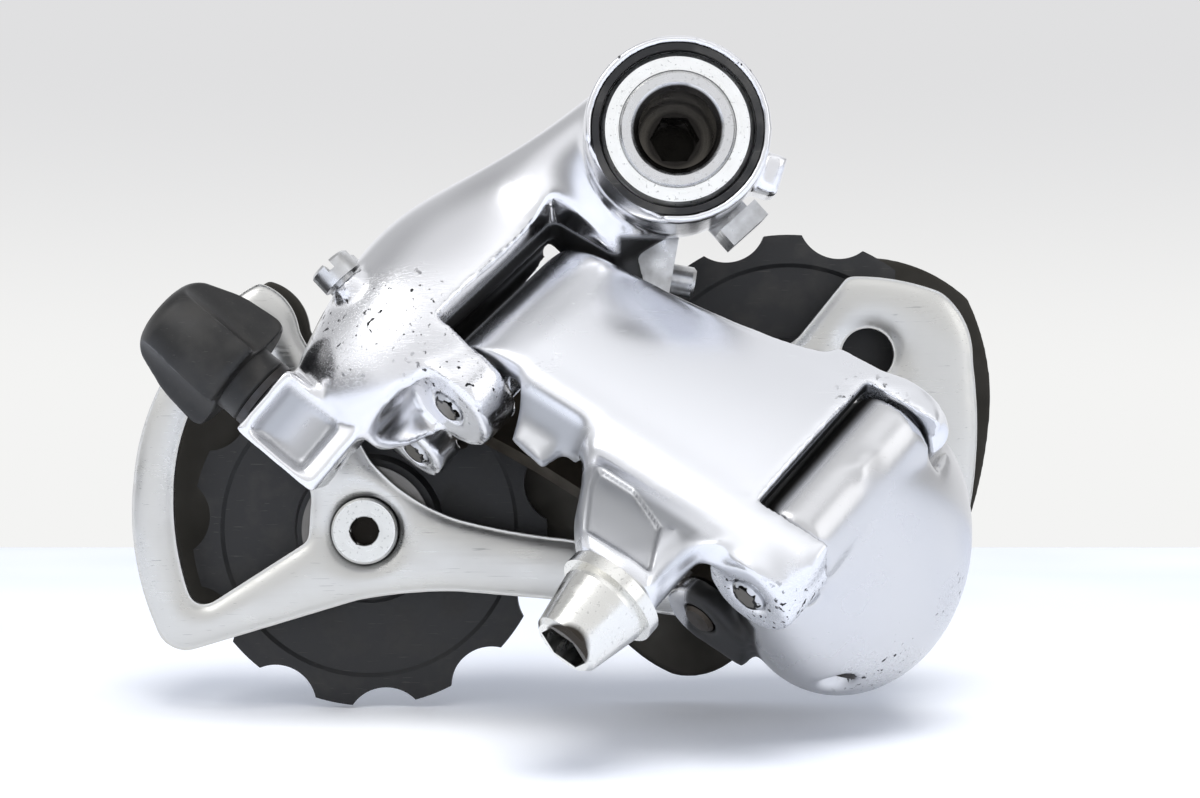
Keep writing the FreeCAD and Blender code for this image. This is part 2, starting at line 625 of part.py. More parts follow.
def mounting_knuckle():
    """The knuckle with its bores, link bay and hanger clearance cut."""
    outer_pin, inner_pin = pin_shaft("outer_mount"), pin_shaft("inner_mount")
    tools = [
        rod(FACE, "bush_radius + run_gap", "40", "-5"),
        rod(FACE, "boss_chamber_radius", "boss_chamber_front + 5", "-5"),
        rod(FACE, "seal_outer + press_gap", "5", "boss_seal_floor"),
        rod(outer_pin, "pin_radius + press_gap", "60", "-30"),
        rod(inner_pin, "pin_radius + press_gap", "60", "-30"),
        block(outer_pin, ("-bay_back", "-60", "-bay_low"), ("60", "6", "bay_high")),
        block(outer_pin, ("-bay_inner_back", "5", "-bay_low"), ("60", "60", "bay_high")),
        rod(outer_pin, "ear_clear_radius", "20", "-ear_face - 20"),
        rod(barrel_frame(), "barrel_thread_radius + run_gap", "barrel_thread_reach + 1.5",
            "-barrel_thread_reach - 0.5"),
        rod(barrel_frame(), "cable_hole_radius", "30", "-30"),
        rod(face_at("tension_x", "tension_z"), "tip_radius + sweep_gap", "30", "plate_out - 29.5"),
        block(FACE, ("-80", "-80", "-30"), ("-34", "-10", "plate_out + sweep_gap")),
    ]
    tools += swept_clear("outer_mount", "bay_back", ("8", "4.9"), "bay_low", "bay_high", 1)
    tools += swept_clear("inner_mount", "inner_barrel_radius + sweep_gap",
                         ("inner_barrel_radius + sweep_gap", "inner_barrel_radius + sweep_gap"),
                         "inner_half + sweep_gap", "inner_half + sweep_gap", 1)
    hanger = less(rod(FACE, "hanger_clear_radius", "hanger_clear_out + 12", "-12"),
                  rod(FACE, "boss_radius", "40", "boss_rear"))
    for index in (0, 1):
        tools.append(rod(limit_frame(index), "limit_radius + run_gap", "limit_length + 0.5",
                         "-limit_length - 0.5"))
        tools.append(rod(limit_frame(index), "limit_head_radius + 0.5", "12", "-0.3"))
    node(less(knuckle_body(), hanger, *tools), "mounting_knuckle")


def boss_seal():
    """Rubber ring in the boss's front groove."""
    turned("boss_seal", FACE, ring("seal_inner", "seal_outer", "seal_rear", "seal_front"))


def limit_screws():
    """High and low limit screws side by side."""
    for index, label in enumerate(("limit_screw_high", "limit_screw_low")):
        body = new_body(label.title().replace("_", ""), limit_frame(index))
        spin(body, [("0", "-limit_length"), ("limit_radius - 0.3", "-limit_length"),
                    ("limit_radius", "-limit_length + 0.3"), ("limit_radius", "0"),
                    ("limit_head_radius", "0"), ("limit_head_radius", "limit_head - 0.3"),
                    ("limit_head_radius - 0.3", "limit_head"), ("0", "limit_head")])
        slot(body, "limit_head", "limit_head_radius + 1")
        node(body, label)


def pins():
    """The parallelogram's four pins and their bushes."""
    spans = {
        "outer_mount": ("-ear_face - 0.3", "upper_ear_face"),
        "inner_mount": ("-lug_face - 0.2", "lug_face + 0.2"),
        "outer_pulley": ("-link_ear_bottom - 0.3", "link_ear_top + 0.2"),
        "inner_pulley": ("-inner_half - knuckle_lug_length - 0.4", "inner_half + knuckle_lug_length + 0.4"),
    }
    for pin, (low, high) in spans.items():
        edge = "pin_radius - 0.4"
        turned(pin + "_pin", pin_shaft(pin), [
            ("0", low), (edge, low), ("pin_radius", low + " + 0.4"), ("pin_radius", high + " - 0.4"),
            (edge, high), ("0", high)])
    for pin, low, high in (("outer_mount", "-link_low", "link_high"),
                           ("inner_mount", "-inner_half", "inner_half"),
                           ("outer_pulley", "-link_ear_low + 0.6", "link_ear_high - 0.5")):
        turned(pin + "_bush", pin_shaft(pin), ring("pin_radius + run_gap", "pin_bush_radius", low, high))


# ---- barrel adjuster ---------------------------------------------------------------------------

def barrel_adjuster():
    """Detent ring, threaded barrel and fluted knob for the cable housing."""
    place = barrel_frame()
    turned("barrel_detent_ring", place, ring(
        "barrel_thread_radius + run_gap", "detent_radius", "detent_seat",
        "detent_seat + detent_thickness"))
    turned("barrel_bolt", place, [
        ("cable_hole_radius", "-barrel_thread_reach"), ("barrel_thread_radius", "-barrel_thread_reach"),
        ("barrel_thread_radius", "neck_seat"), ("neck_radius", "neck_seat"),
        ("neck_radius", "neck_seat + neck_length - 0.5"),
        ("sleeve_radius", "neck_seat + neck_length - 0.5"), ("sleeve_radius", "inlet_floor"),
        ("cable_hole_radius", "inlet_floor")])
    body = new_body("BarrelKnob", place)
    inner, shoulder = "sleeve_radius + press_gap", "inlet_floor + press_gap"
    spin(body, [
        (inner, "knob_seat"), ("knob_skirt_radius - 0.5", "knob_seat"),
        ("knob_skirt_radius", "knob_seat + 0.6"), ("knob_belly_radius", "knob_belly"),
        ("knob_tip_radius + 0.6", "knob_end - 1.4"), ("knob_tip_radius - 0.8", "knob_end"),
        ("knob_opening", "knob_end"), ("knob_opening", "sleeve_end"), ("inlet_radius", "sleeve_end"),
        ("inlet_radius", shoulder), (inner, shoulder)])
    flute = circle(new_sketch(body, "XY_Plane", "knob_end"), "0", "knob_flute_place", "knob_flute_radius")
    repeat(body, pocket(body, flute, "knob_end"), "knob_lobes")
    node(body, "barrel_knob")


# ---- links -------------------------------------------------------------------------------------

def outer_link():
    """Polished outer link: crowned plate, pin barrel, pin ears and cable arm with its pocket."""
    place = link_face("outer_mount")
    body = new_body("OuterLinkPlate", place)
    end, bottom = "link_reach", "-clamp_face"
    plate = outline(new_sketch(body, "XY_Plane", "plate_back"), [
        ("-3", "-link_low"), ("6.8", "-link_low"), ("9.4", "-14.4"), ("14.5", "-15.2"),
        ("15.2", "-12.4"), ("17.4", "-12.4"), ("23.4", "-20.5", "-16"), ("clamp_x - 5.2", bottom),
        ("clamp_x + 4.8", bottom), ("clamp_x + 3.6", "-15.4", "-9"), (end, "-link_ear_bottom"),
        (end + " + 5", "-12.4", "6"), (end + " + 5.2", "-link_ear_low", "9"),
        (end + " - link_end_back", "-link_ear_low"), (end + " - link_end_back", "link_ear_high"),
        (end + " + 5.4", "link_ear_high"), (end + " + 3.6", "link_ear_top - 0.8", "3"),
        (end, "link_ear_top", "8"), ("28.4", "13.1", "60"), ("4", "10.1", "-110"),
        ("-3", "link_high")])
    pad(body, plate, "plate_front")
    crown = new_body("OuterLinkCrown", place)
    side = new_sketch(crown, "YZ_Plane", "-link_end_back")
    pad(crown, outline(side, [
        ("-clamp_face - 2", "0"), ("link_ear_top + 2", "0"), ("link_ear_top + 2", "plate_back"),
        ("link_high + 2.4", "plate_front - 0.4", "10"), ("-link_ear_low - 0.2", "plate_front", "80"),
        ("-link_low - 3.2", "arm_front - 0.5", "5"), ("-link_low - 7.4", "arm_front", "-5"),
        ("-clamp_face - 2", "arm_front + 0.8")]), "link_reach + 12")
    trimmed = shared(body, crown)
    recess_body = new_body("ArmRecess", place)
    pad(recess_body, outline(new_sketch(recess_body, "XY_Plane", "arm_front - pocket_depth"), [
        ("24.4", "-20.6"), ("clamp_x + 1", "-20.6"), ("clamp_x + 1.8", "-16.6"), ("29.6", "-14.2", "5"),
        ("25.4", "-15.4", "5")]), "6")
    shaft, pulley_shaft = pin_shaft("outer_mount"), pin_shaft("outer_pulley")
    clamp = clamp_frame()
    fingers = []
    for bottom, top in (("-link_ear_bottom + 0.8", "-link_ear_low"),
                        ("link_ear_high", "link_ear_top - 0.8")):
        fingers.append(block(pulley_shaft, ("-10", "-link_ear_radius", bottom), ("0", "-plate_back", top)))
    solid = joined(
        trimmed, rod(shaft, "barrel_radius", "link_low + link_high", "-link_low"),
        rod(pulley_shaft, "link_ear_radius", "link_ear_bottom - link_ear_low", "-link_ear_bottom"),
        rod(pulley_shaft, "link_ear_radius", "link_ear_top - link_ear_high", "link_ear_high"),
        rod(clamp, "clamp_boss_radius", "clamp_boss_length", "-clamp_boss_length"), *fingers)
    tools = [
        rod(shaft, "pin_bush_radius + press_gap", "80", "-40"),
        rod(pulley_shaft, "pin_radius + press_gap", "80", "-40"),
        rod(pulley_shaft, "knuckle_barrel_radius + sweep_gap", "link_ear_low + link_ear_high",
            "-link_ear_low"),
        rod(clamp, "clamp_thread_radius + press_gap", "clamp_thread_depth", "-clamp_thread_depth"),
    ]
    node(less(solid, recess_body, *tools), "outer_link")


def clamp_frame():
    """Shaft frame of the cable bolt, Z down the pins and out of the bolt's head."""
    base = link_face("outer_mount") * Vector(value("clamp_x"), -value("clamp_face"), value("clamp_out"))
    return frame(base, link_along, -pin_up)


def cable_clamp():
    """Cable bolt with a tapered head, and its washer."""
    place = clamp_frame()
    turned("cable_washer", place, ring("clamp_thread_radius + run_gap", "washer_radius", "0",
                                       "washer_thickness"))
    body = new_body("CableBolt", place)
    top = "washer_thickness + clamp_head"
    spin(body, [
        ("0", "-clamp_thread_depth + 1"), ("clamp_thread_radius - 0.5", "-clamp_thread_depth + 1"),
        ("clamp_thread_radius", "-clamp_thread_depth + 1.5"), ("clamp_thread_radius", "washer_thickness"),
        ("clamp_head_radius", "washer_thickness"), ("clamp_head_radius", "washer_thickness + 0.8"),
        ("clamp_tip_radius + 0.3", top + " - 0.5"), ("clamp_tip_radius - 0.2", top), ("0", top)])
    hex_socket(body, "key_flats", top, "clamp_key_depth")
    node(body, "cable_bolt")


def inner_link():
    """Plain inner link: a waisted plate between two barrels, with a window."""
    place = link_face("inner_mount")
    body = new_body("InnerLinkPlate", place)
    half, waist = "inner_half", "inner_half - 1.6"
    pad(body, outline(new_sketch(body, "XY_Plane", "inner_back"), [
        ("0", "-" + half), ("link_reach / 2", "-(%s)" % waist, "-120"), ("link_reach", "-" + half, "-120"),
        ("link_reach", half), ("link_reach / 2", waist, "-120"), ("0", half, "-120")]),
        "inner_thickness")
    left, right = "(link_reach - inner_window) / 2", "(link_reach + inner_window) / 2"
    low, high, bow = "-inner_window_height / 2", "inner_window_height / 2", "inner_window_height * 0.6"
    window = outline(new_sketch(body, "XY_Plane", "inner_back + inner_thickness"), [
        (left, low, bow), (right, low), (right, high, bow), (left, high)])
    pocket(body, window, "inner_thickness")
    near, far = pin_shaft("inner_mount"), pin_shaft("inner_pulley")
    solid = joined(body, rod(near, "inner_barrel_radius", "2 * inner_half", "-inner_half"),
                   rod(far, "inner_barrel_radius", "2 * inner_half", "-inner_half"))
    tools = [rod(near, "pin_bush_radius + press_gap", "60", "-30"),
             rod(far, "pin_radius + press_gap", "60", "-30")]
    node(less(solid, *tools), "inner_link")


def return_spring():
    """Coil spring across the parallelogram, from the outer mount pin to the inner pulley pin."""
    start, finish = PINS["outer_mount"], PINS["inner_pulley"]
    along = (finish - start).normalize()
    length = (finish - start).Length
    hook = value("barrel_radius") + 2.2
    base = start + along * hook
    place = frame(base, pin_up, along)
    coil("return_spring", place, "return_coil", "return_wire", "return_pitch",
         str(length - hook - value("return_end")), ("return_leg", "return_end - return_catch"))


# ---- pulley knuckle ----------------------------------------------------------------------------

# Sections of the pulley knuckle: distance outboard of the hanger face, shift forward and up from
# the cage pivot, half length, half width and heading of the length in degrees.
SHELL = [
    (-2.6, 0, 0, 13.2, 13.1, 72), (6, -0.2, 0.6, 14.2, 13.3, 72), (15, -0.4, 4, 17.2, 13.6, 72),
    (23, -2.6, 6, 15.6, 11, 66), (29, -4.8, 7.4, 11.6, 6.4, 60), (32.4, -6, 8, 7.4, 2.6, 56),
]


def pivot_frame(out=0):
    """Face frame on the cage pivot."""
    return face_at("pulley_pivot_x", "pulley_pivot_z", out)


def knuckle_room(pin, low, high, depth, end="0"):
    """Room in the pulley knuckle for a link about a pin over its whole travel."""
    tools = []
    steps = 4
    for step in range(steps):
        place = turned_about_z(pin_shaft(pin), value("link_travel") * step / (steps - 1))
        tools.append(block(place, ("-60", "-(%s)" % depth[0], low), (end, depth[1], high)))
    return tools


def pulley_knuckle():
    """Smooth helmet over the cage spring, with the outer pin's barrel and the inner pin's lugs."""
    rows = []
    for out, forward, up, long, wide, heading in SHELL:
        place = turned_about_z(moved(pivot_frame(out), forward, up), heading)
        rows.append((place, str(long), str(wide)))
    shell = sections_loft(rows)
    outer_pin, inner_pin = pin_shaft("outer_pulley"), pin_shaft("inner_pulley")
    low, high = "-link_ear_low + 0.4", "link_ear_high - 0.3"
    barrel = rod(outer_pin, "knuckle_barrel_radius", "link_ear_low + link_ear_high - 0.7", low)
    lugs = []
    for start in ("-inner_half - 0.3 - knuckle_lug_length", "inner_half + 0.3"):
        lugs.append(rod(inner_pin, "knuckle_lug_radius", "knuckle_lug_length", start))
        lugs.append(block(inner_pin, ("0", "-knuckle_lug_low", start),
                          ("knuckle_lug_root", "knuckle_lug_radius", "%s + knuckle_lug_length" % start)))
    stop_half = "stop_lug_width / 2"
    pin_arc = math.degrees(math.asin((value("stop_pin_radius + stop_lug_width / 2 + stop_gap"))
                                     / value("stop_ring_radius")))
    stop = block(turned_about_z(pivot_frame(), value("stop_pin_heading") - pin_arc),
                 ("housing_radius - 2", "-" + stop_half, "housing_rear"),
                 ("stop_ring_radius + stop_pin_radius", stop_half, "stop_pin_front + 0.6"))
    solid = joined(shell, barrel, stop, *lugs)
    sweep = knuckle_room("outer_pulley", low, high, ("12", "-plate_back + sweep_gap"), "-3.6")
    link_room = less(joined(*sweep), rod(outer_pin, "knuckle_barrel_radius", "60", "-30"))
    tools = [
        link_room,
        rod(outer_pin, "link_ear_radius + sweep_gap", "30", "-link_ear_low - 29.6"),
        rod(outer_pin, "link_ear_radius + sweep_gap", "30", "link_ear_high - 0.3"),
        rod(inner_pin, "inner_barrel_radius + sweep_gap", "2 * inner_half + 0.6", "-inner_half - 0.3"),
        rod(outer_pin, "pin_bush_radius + press_gap", "80", "-40"),
        rod(inner_pin, "pin_radius + open_gap", "80", "-40"),
        rod(pivot_frame(), "spring_chamber_radius", "spring_chamber_front + 20", "-20"),
        rod(pivot_frame(), "axle_radius + run_gap", "axle_bore_front + 20", "-20"),
        less(rod(pivot_frame(), "shield_outer + press_gap", "shield_seat + 20", "-20"),
             rod(pivot_frame(), "shield_inner - press_gap", "60", "-30")),
        rod(grub_frame(), "grub_radius + press_gap", "20", "0"),
    ]
    tools += knuckle_room("outer_pulley", "-30", "-link_ear_low + 0.4", ("8", "3.4"), "6")
    tools += knuckle_room("outer_pulley", "link_ear_high - 0.3", "40", ("8", "3.4"), "6")
    side = "inner_barrel_radius + sweep_gap"
    tools += knuckle_room("inner_pulley", "-inner_half - 0.3", "inner_half + 0.3", (side, side))
    node(less(solid, *tools), "pulley_knuckle")


def grub_frame():
    """Shaft frame of the axle's grub screw, Z out of the knuckle."""
    outward = polar(value("grub_heading"))
    out = value("axle_groove + axle_groove_width / 2")
    base = Vector(value("pulley_pivot_x"), -out, value("pulley_pivot_z")) + outward * value("grub_tip")
    return frame(base, INBOARD, outward)


def cage_pivot():
    """Cage axle, its grub screw, the knuckle's rubber shield and the cage spring."""
    place = pivot_frame()
    turned("cage_axle", place, [
        ("0", "plate_out - outer_plate"), ("axle_rivet_radius", "plate_out - outer_plate"),
        ("axle_rivet_radius", "plate_out"), ("axle_flange", "plate_out"), ("axle_flange", "plate_out + 0.6"),
        ("axle_radius", "plate_out + 0.6"), ("axle_radius", "axle_groove"),
        ("axle_groove_radius", "axle_groove"), ("axle_groove_radius", "axle_groove + axle_groove_width"),
        ("axle_radius", "axle_groove + axle_groove_width"), ("axle_radius", "axle_front - 0.2"),
        ("axle_radius - 0.4", "axle_front"), ("0", "axle_front")])
    body = new_body("AxleGrubScrew", grub_frame())
    spin(body, [("0", "0"), ("grub_radius - 0.3", "0"), ("grub_radius", "0.3"),
                ("grub_radius", "grub_length"), ("0", "grub_length")])
    hex_socket(body, "grub_flats", "grub_length", "grub_key_depth")
    node(body, "axle_grub_screw")
    turned("knuckle_shield", place, ring("shield_inner", "shield_outer", "shield_rear", "shield_seat"))
    coil("cage_spring", moved(place, out="cage_spring_rear"), "cage_spring_coil", "cage_spring_wire",
         "cage_spring_pitch", "cage_spring_rise")
    stop = moved(turned_about_z(place, value("stop_pin_heading")), "stop_ring_radius")
    turned("cage_stop_pin", stop, [
        ("0", "plate_out - outer_plate"), ("stop_pin_radius - 0.5", "plate_out - outer_plate"),
        ("stop_pin_radius - 0.5", "plate_out"), ("stop_pin_radius", "plate_out"),
        ("stop_pin_radius", "stop_pin_front"), ("0", "stop_pin_front")])


# ---- cage --------------------------------------------------------------------------------------

def plate_body(name, points, out, thickness):
    """A flat cage plate from its outline, inboard face at a height."""
    body = new_body(name, FACE)
    pad(body, outline(new_sketch(body, "XY_Plane", out), points), thickness)
    return body


def holed(body, out, holes):
    """Cut round holes through a plate."""
    for x, z, radius in holes:
        pocket(body, circle(new_sketch(body, "XY_Plane", out), x, z, radius), "outer_plate + inner_plate")


def outer_cage_plate():
    """Silver outer plate: pivot hub, guide lobe, slim arm and an open D loop round the tension end."""
    back = "plate_out - outer_plate"
    body = plate_body("OuterCagePlate", [
        ("10.5", "-58.6"), ("33", "-55.6", "cage_hub_radius + 0.4"), ("38", "-44", "40"),
        ("38.4", "-25", "60"), ("34.4", "-16.4", "10"), ("22.6", "-14.4", "30"), ("16.3", "-22.2"),
        ("8", "-28"), ("5", "-42", "-40"), ("-12", "-47.6", "-14"), ("-26.3", "-45.1", "-90"),
        ("-37.6", "-37.6", "-24"), ("-46.5", "-21.4"), ("-51.6", "-15.2", "7"), ("-67.4", "-40", "31"),
        ("-64.6", "-58.6", "36"), ("-60.2", "-61.6", "4"), ("-39.2", "-55.3"), ("-26.3", "-54.2", "-60"),
        ("-12", "-55.4")], back, "outer_plate")
    window = outline(new_sketch(body, "XY_Plane", "plate_out"), [
        ("-45", "-42"), ("-51.4", "-22.4"), ("-54", "-22.4", "1.6"), ("-62.3", "-42", "27"),
        ("-60.4", "-54.4", "36"), ("-57.6", "-55.6", "2"), ("-45.4", "-47.8")])
    pocket(body, window, "outer_plate")
    holed(body, "plate_out", [
        ("pulley_pivot_x", "pulley_pivot_z", "axle_rivet_radius + press_gap"),
        ("cage_lighten_x", "cage_lighten_z", "cage_lighten_radius"),
        ("guide_x", "guide_z", "pulley_bolt_radius + press_gap"),
        ("tension_x", "tension_z", "pulley_bolt_radius + press_gap")])
    pins_place = moved(turned_about_z(pivot_frame(), value("stop_pin_heading")), "stop_ring_radius")
    sink = "pulley_bolt_head_radius + 0.15"
    tools = [rod(pins_place, "stop_pin_radius - 0.5 + press_gap", "20", "-10")]
    for x, z in (("guide_x", "guide_z"), ("tension_x", "tension_z")):
        tools.append(rod(face_at(x, z), sink, "5", "plate_out - pulley_bolt_seat"))
    node(less(body, *tools), "cage_outer_plate")


def inner_cage_plate():
    """Dark inner plate: guards round both pulleys joined by an arm."""
    back = "plate_out - outer_plate - cage_gap - inner_plate"
    body = plate_body("InnerCagePlate", [
        ("-12", "-54.6"), ("-6", "-61", "12"), ("1", "-66", "20"), ("9", "-64", "9"),
        ("24", "-57.5"), ("39.4", "-47", "30"), ("42.6", "-30", "60"), ("39.6", "-16.8", "30"),
        ("24", "-11.4", "20"), ("10", "-20"), ("5", "-38", "-40"), ("-12", "-46.4", "-18"),
        ("-26.3", "-44.2", "-90"), ("-36", "-36.4", "-24"), ("-46.6", "-21"), ("-52", "-14.4", "7"),
        ("-66.4", "-40", "31"), ("-63.6", "-58", "36"), ("-60", "-60.2", "4"), ("-39.2", "-54.4"),
        ("-26.3", "-53.4", "-60")], back, "inner_plate")
    holed(body, back + " + inner_plate", [
        ("guide_x", "guide_z", "pulley_bolt_radius + press_gap"),
        ("tension_x", "tension_z", "pulley_bolt_radius + press_gap"),
        ("cage_lighten_x + 1", "cage_lighten_z", "cage_lighten_radius")])
    node(body, "cage_inner_plate")


def pulley_bolts():
    """Cap bolts that hold each pulley between the plates, with sunk round heads."""
    for x, z, label in (("guide_x", "guide_z", "guide_pulley_bolt"),
                        ("tension_x", "tension_z", "tension_pulley_bolt")):
        body = new_body(label.title().replace("_", ""), face_at(x, z, "plate_out - pulley_bolt_seat"))
        tail = "pulley_bolt_seat - outer_plate - cage_gap - inner_plate"
        spin(body, [
            ("0", tail), ("pulley_bolt_radius - 0.4", tail), ("pulley_bolt_radius", tail + " + 0.4"),
            ("pulley_bolt_radius", "0"), ("pulley_bolt_head_radius", "0"),
            ("pulley_bolt_head_radius", "pulley_bolt_head - 0.3"),
            ("pulley_bolt_head_radius - 0.3", "pulley_bolt_head"), ("0", "pulley_bolt_head")])
        hex_socket(body, "pulley_key_flats", "pulley_bolt_head", "pulley_key_depth")
        node(body, label)


# ---- pulleys -----------------------------------------------------------------------------------

def pulley_frame(which):
    """Face frame on a pulley's axis, half way between the cage plates."""
    return face_at(which + "_x", which + "_z", "plate_out - outer_plate - cage_gap / 2")


def pulley(which, bore):
    """Toothed pulley: tooth valleys repeated round the rim, thin web and a thick hub."""
    body = new_body(which.title() + "Pulley", pulley_frame(which))
    turn = PULLEY_TURN[which]
    half = "tooth_width / 2"
    spin(body, [
        (bore, "-hub_width / 2"), ("hub_radius", "-hub_width / 2"), ("hub_radius + 0.6", "-web_width / 2"),
        ("rim_inner", "-web_width / 2"), ("rim_inner + 0.5", "-" + half),
        ("tip_radius", "-tip_width / 2"), ("tip_radius", "tip_width / 2"),
        ("rim_inner + 0.5", half), ("rim_inner", "web_width / 2"),
        ("hub_radius + 0.6", "web_width / 2"), ("hub_radius", "hub_width / 2"), (bore, "hub_width / 2")])
    valley = circle(new_sketch(body, "XY_Plane", half, turn), "valley_place", "0", "valley_radius")
    repeat(body, pocket(body, valley, "tooth_width"), "tooth_count")
    node(body, which + "_pulley")


PULLEY_TURN = {"guide": 10, "tension": 13}


def dust_caps(which, inner):
    """Pair of thin caps, one at each end of a pulley's hub."""
    pair = []
    for side, low in (("Near", "cage_gap / 2 - cap_thickness"), ("Far", "-cage_gap / 2")):
        body = new_body(which.title() + side + "Cap", pulley_frame(which))
        spin(body, ring(inner, "cap_radius", low, low + " + cap_thickness"))
        pair.append(body)
    grouped(which + "_dust_caps", *pair)


def guide_pulley():
    """Guide pulley on a ceramic sleeve that floats sideways on a steel spacer."""
    half = "cage_gap / 2"
    turned("guide_spacer", pulley_frame("guide"), ring(
        "pulley_bolt_radius + press_gap", "spacer_radius", "-" + half, half))
    turned("guide_float_sleeve", pulley_frame("guide"), ring(
        "spacer_radius + run_gap", "float_sleeve_radius", "-float_sleeve_width / 2",
        "float_sleeve_width / 2"))
    pulley("guide", "float_sleeve_radius + run_gap")
    dust_caps("guide", "spacer_radius + press_gap")


def tension_pulley():
    """Tension pulley on a ball bearing: two races and loose balls."""
    half = "cage_gap / 2"
    place = pulley_frame("tension")
    turned("bearing_inner_race", place, [
        ("pulley_bolt_radius + press_gap", "-" + half), ("spacer_radius", "-" + half),
        ("spacer_radius", "-race_width / 2"), ("race_inner", "-race_width / 2"),
        ("race_inner", "race_width / 2"), ("spacer_radius", "race_width / 2"), ("spacer_radius", half),
        ("pulley_bolt_radius + press_gap", half)])
    turned("bearing_outer_race", place, ring("race_outer", "race_rim", "-race_width / 2", "race_width / 2"))
    balls = []
    for index in range(int(value("ball_count"))):
        ball = doc.addObject("Part::Sphere", "Ball")
        around = turned_about_z(place, 360 * index / value("ball_count"))
        ball.Placement = moved(around, "(race_inner + race_outer) / 2")
        balls.append(bind(ball, Radius="ball_radius"))
    grouped("bearing_balls", *balls)
    pulley("tension", "race_rim + press_gap")
    dust_caps("tension", "spacer_radius + press_gap")


def write_parts():
    """Test every object and sub-part, then write each sub-part to its own file."""
    doc.recompute()
    for item in doc.Objects:
        if "Invalid" in item.State or "Error" in item.State:
            raise RuntimeError("%s (%s) failed: %s" % (item.Name, item.Label, item.State))
    os.makedirs("parts", exist_ok=True)
    for item in NODES:
        shape = item.Shape
        if shape.isNull() or not shape.isValid() or not shape.Solids:
            raise RuntimeError("bad shape in " + item.Label)
        shape.exportStep("parts/%s.step" % item.Label)
        print("%-22s solids %d volume %9.1f" % (item.Label, len(shape.Solids), shape.Volume))


def main():
    """Build every sub-part in order, from the bolt to the pulleys."""
    mounting_bolt()
    mounting_bush()
    retaining_clip()
    stopper_plate()
    angle_screw()
    mounting_knuckle()
    boss_seal()
    coil("boss_spring", moved(FACE, out="boss_spring_rear"), "boss_spring_coil", "boss_spring_wire",
         "boss_spring_pitch", "boss_spring_rise")
    limit_screws()
    pins()
    barrel_adjuster()
    outer_link()
    cable_clamp()
    inner_link()
    return_spring()
    pulley_knuckle()
    cage_pivot()
    outer_cage_plate()
    inner_cage_plate()
    pulley_bolts()
    guide_pulley()
    tension_pulley()
    write_parts()


main()
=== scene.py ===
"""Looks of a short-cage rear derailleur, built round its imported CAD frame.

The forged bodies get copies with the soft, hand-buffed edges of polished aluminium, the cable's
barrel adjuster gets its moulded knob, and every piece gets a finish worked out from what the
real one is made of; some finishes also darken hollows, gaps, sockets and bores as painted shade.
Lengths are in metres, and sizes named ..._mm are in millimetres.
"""
import json
import logging
import math
from dataclasses import dataclass, field
from enum import Enum

import bmesh
import bpy
import numpy as np
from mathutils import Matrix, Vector


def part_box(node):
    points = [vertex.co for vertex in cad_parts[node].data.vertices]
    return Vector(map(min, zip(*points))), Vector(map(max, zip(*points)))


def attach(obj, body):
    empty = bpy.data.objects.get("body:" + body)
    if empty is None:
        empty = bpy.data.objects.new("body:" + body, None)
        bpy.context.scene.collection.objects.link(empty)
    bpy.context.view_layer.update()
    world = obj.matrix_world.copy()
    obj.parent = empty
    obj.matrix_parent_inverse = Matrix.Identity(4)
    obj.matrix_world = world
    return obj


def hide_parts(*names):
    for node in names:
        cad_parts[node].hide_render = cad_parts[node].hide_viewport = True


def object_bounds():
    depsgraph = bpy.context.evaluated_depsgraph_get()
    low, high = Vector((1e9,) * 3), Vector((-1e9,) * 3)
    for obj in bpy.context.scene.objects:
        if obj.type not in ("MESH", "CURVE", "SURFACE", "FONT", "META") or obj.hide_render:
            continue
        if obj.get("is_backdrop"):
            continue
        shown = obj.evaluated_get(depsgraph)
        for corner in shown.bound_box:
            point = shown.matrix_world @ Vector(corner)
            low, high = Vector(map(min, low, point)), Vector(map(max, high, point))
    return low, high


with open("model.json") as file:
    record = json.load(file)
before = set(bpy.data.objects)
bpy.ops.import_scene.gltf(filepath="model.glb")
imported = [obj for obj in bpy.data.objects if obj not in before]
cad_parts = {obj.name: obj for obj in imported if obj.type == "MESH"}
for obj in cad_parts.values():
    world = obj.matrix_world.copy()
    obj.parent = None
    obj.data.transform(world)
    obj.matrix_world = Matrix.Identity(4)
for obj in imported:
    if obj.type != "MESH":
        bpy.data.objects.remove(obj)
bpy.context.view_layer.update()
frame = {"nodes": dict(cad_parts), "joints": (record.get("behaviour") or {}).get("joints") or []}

Tree, Socket, Piece, Mesh = (
    bpy.types.NodeTree, bpy.types.NodeSocket, bpy.types.Object, bpy.types.Mesh)
Triple = tuple[float, float, float]

MM = 0.001
MERGE = 0.002 * MM
LOG = logging.getLogger("derailleur")


# ---- shared tools ------------------------------------------------------------------------------

def linear(hex_colour: str) -> tuple[float, float, float, float]:
    """Turn an sRGB hex colour into linear red, green, blue and alpha.

    Args:
        hex_colour: six hex digits after a hash, as "#A0A0A0".

    Returns:
        The linear colour with an alpha of 1.
    """
    parts = [int(hex_colour[i:i + 2], 16) / 255 for i in (1, 3, 5)]
    red, green, blue = (c / 12.92 if c <= 0.04045 else ((c + 0.055) / 1.055) ** 2.4 for c in parts)
    return red, green, blue, 1.0


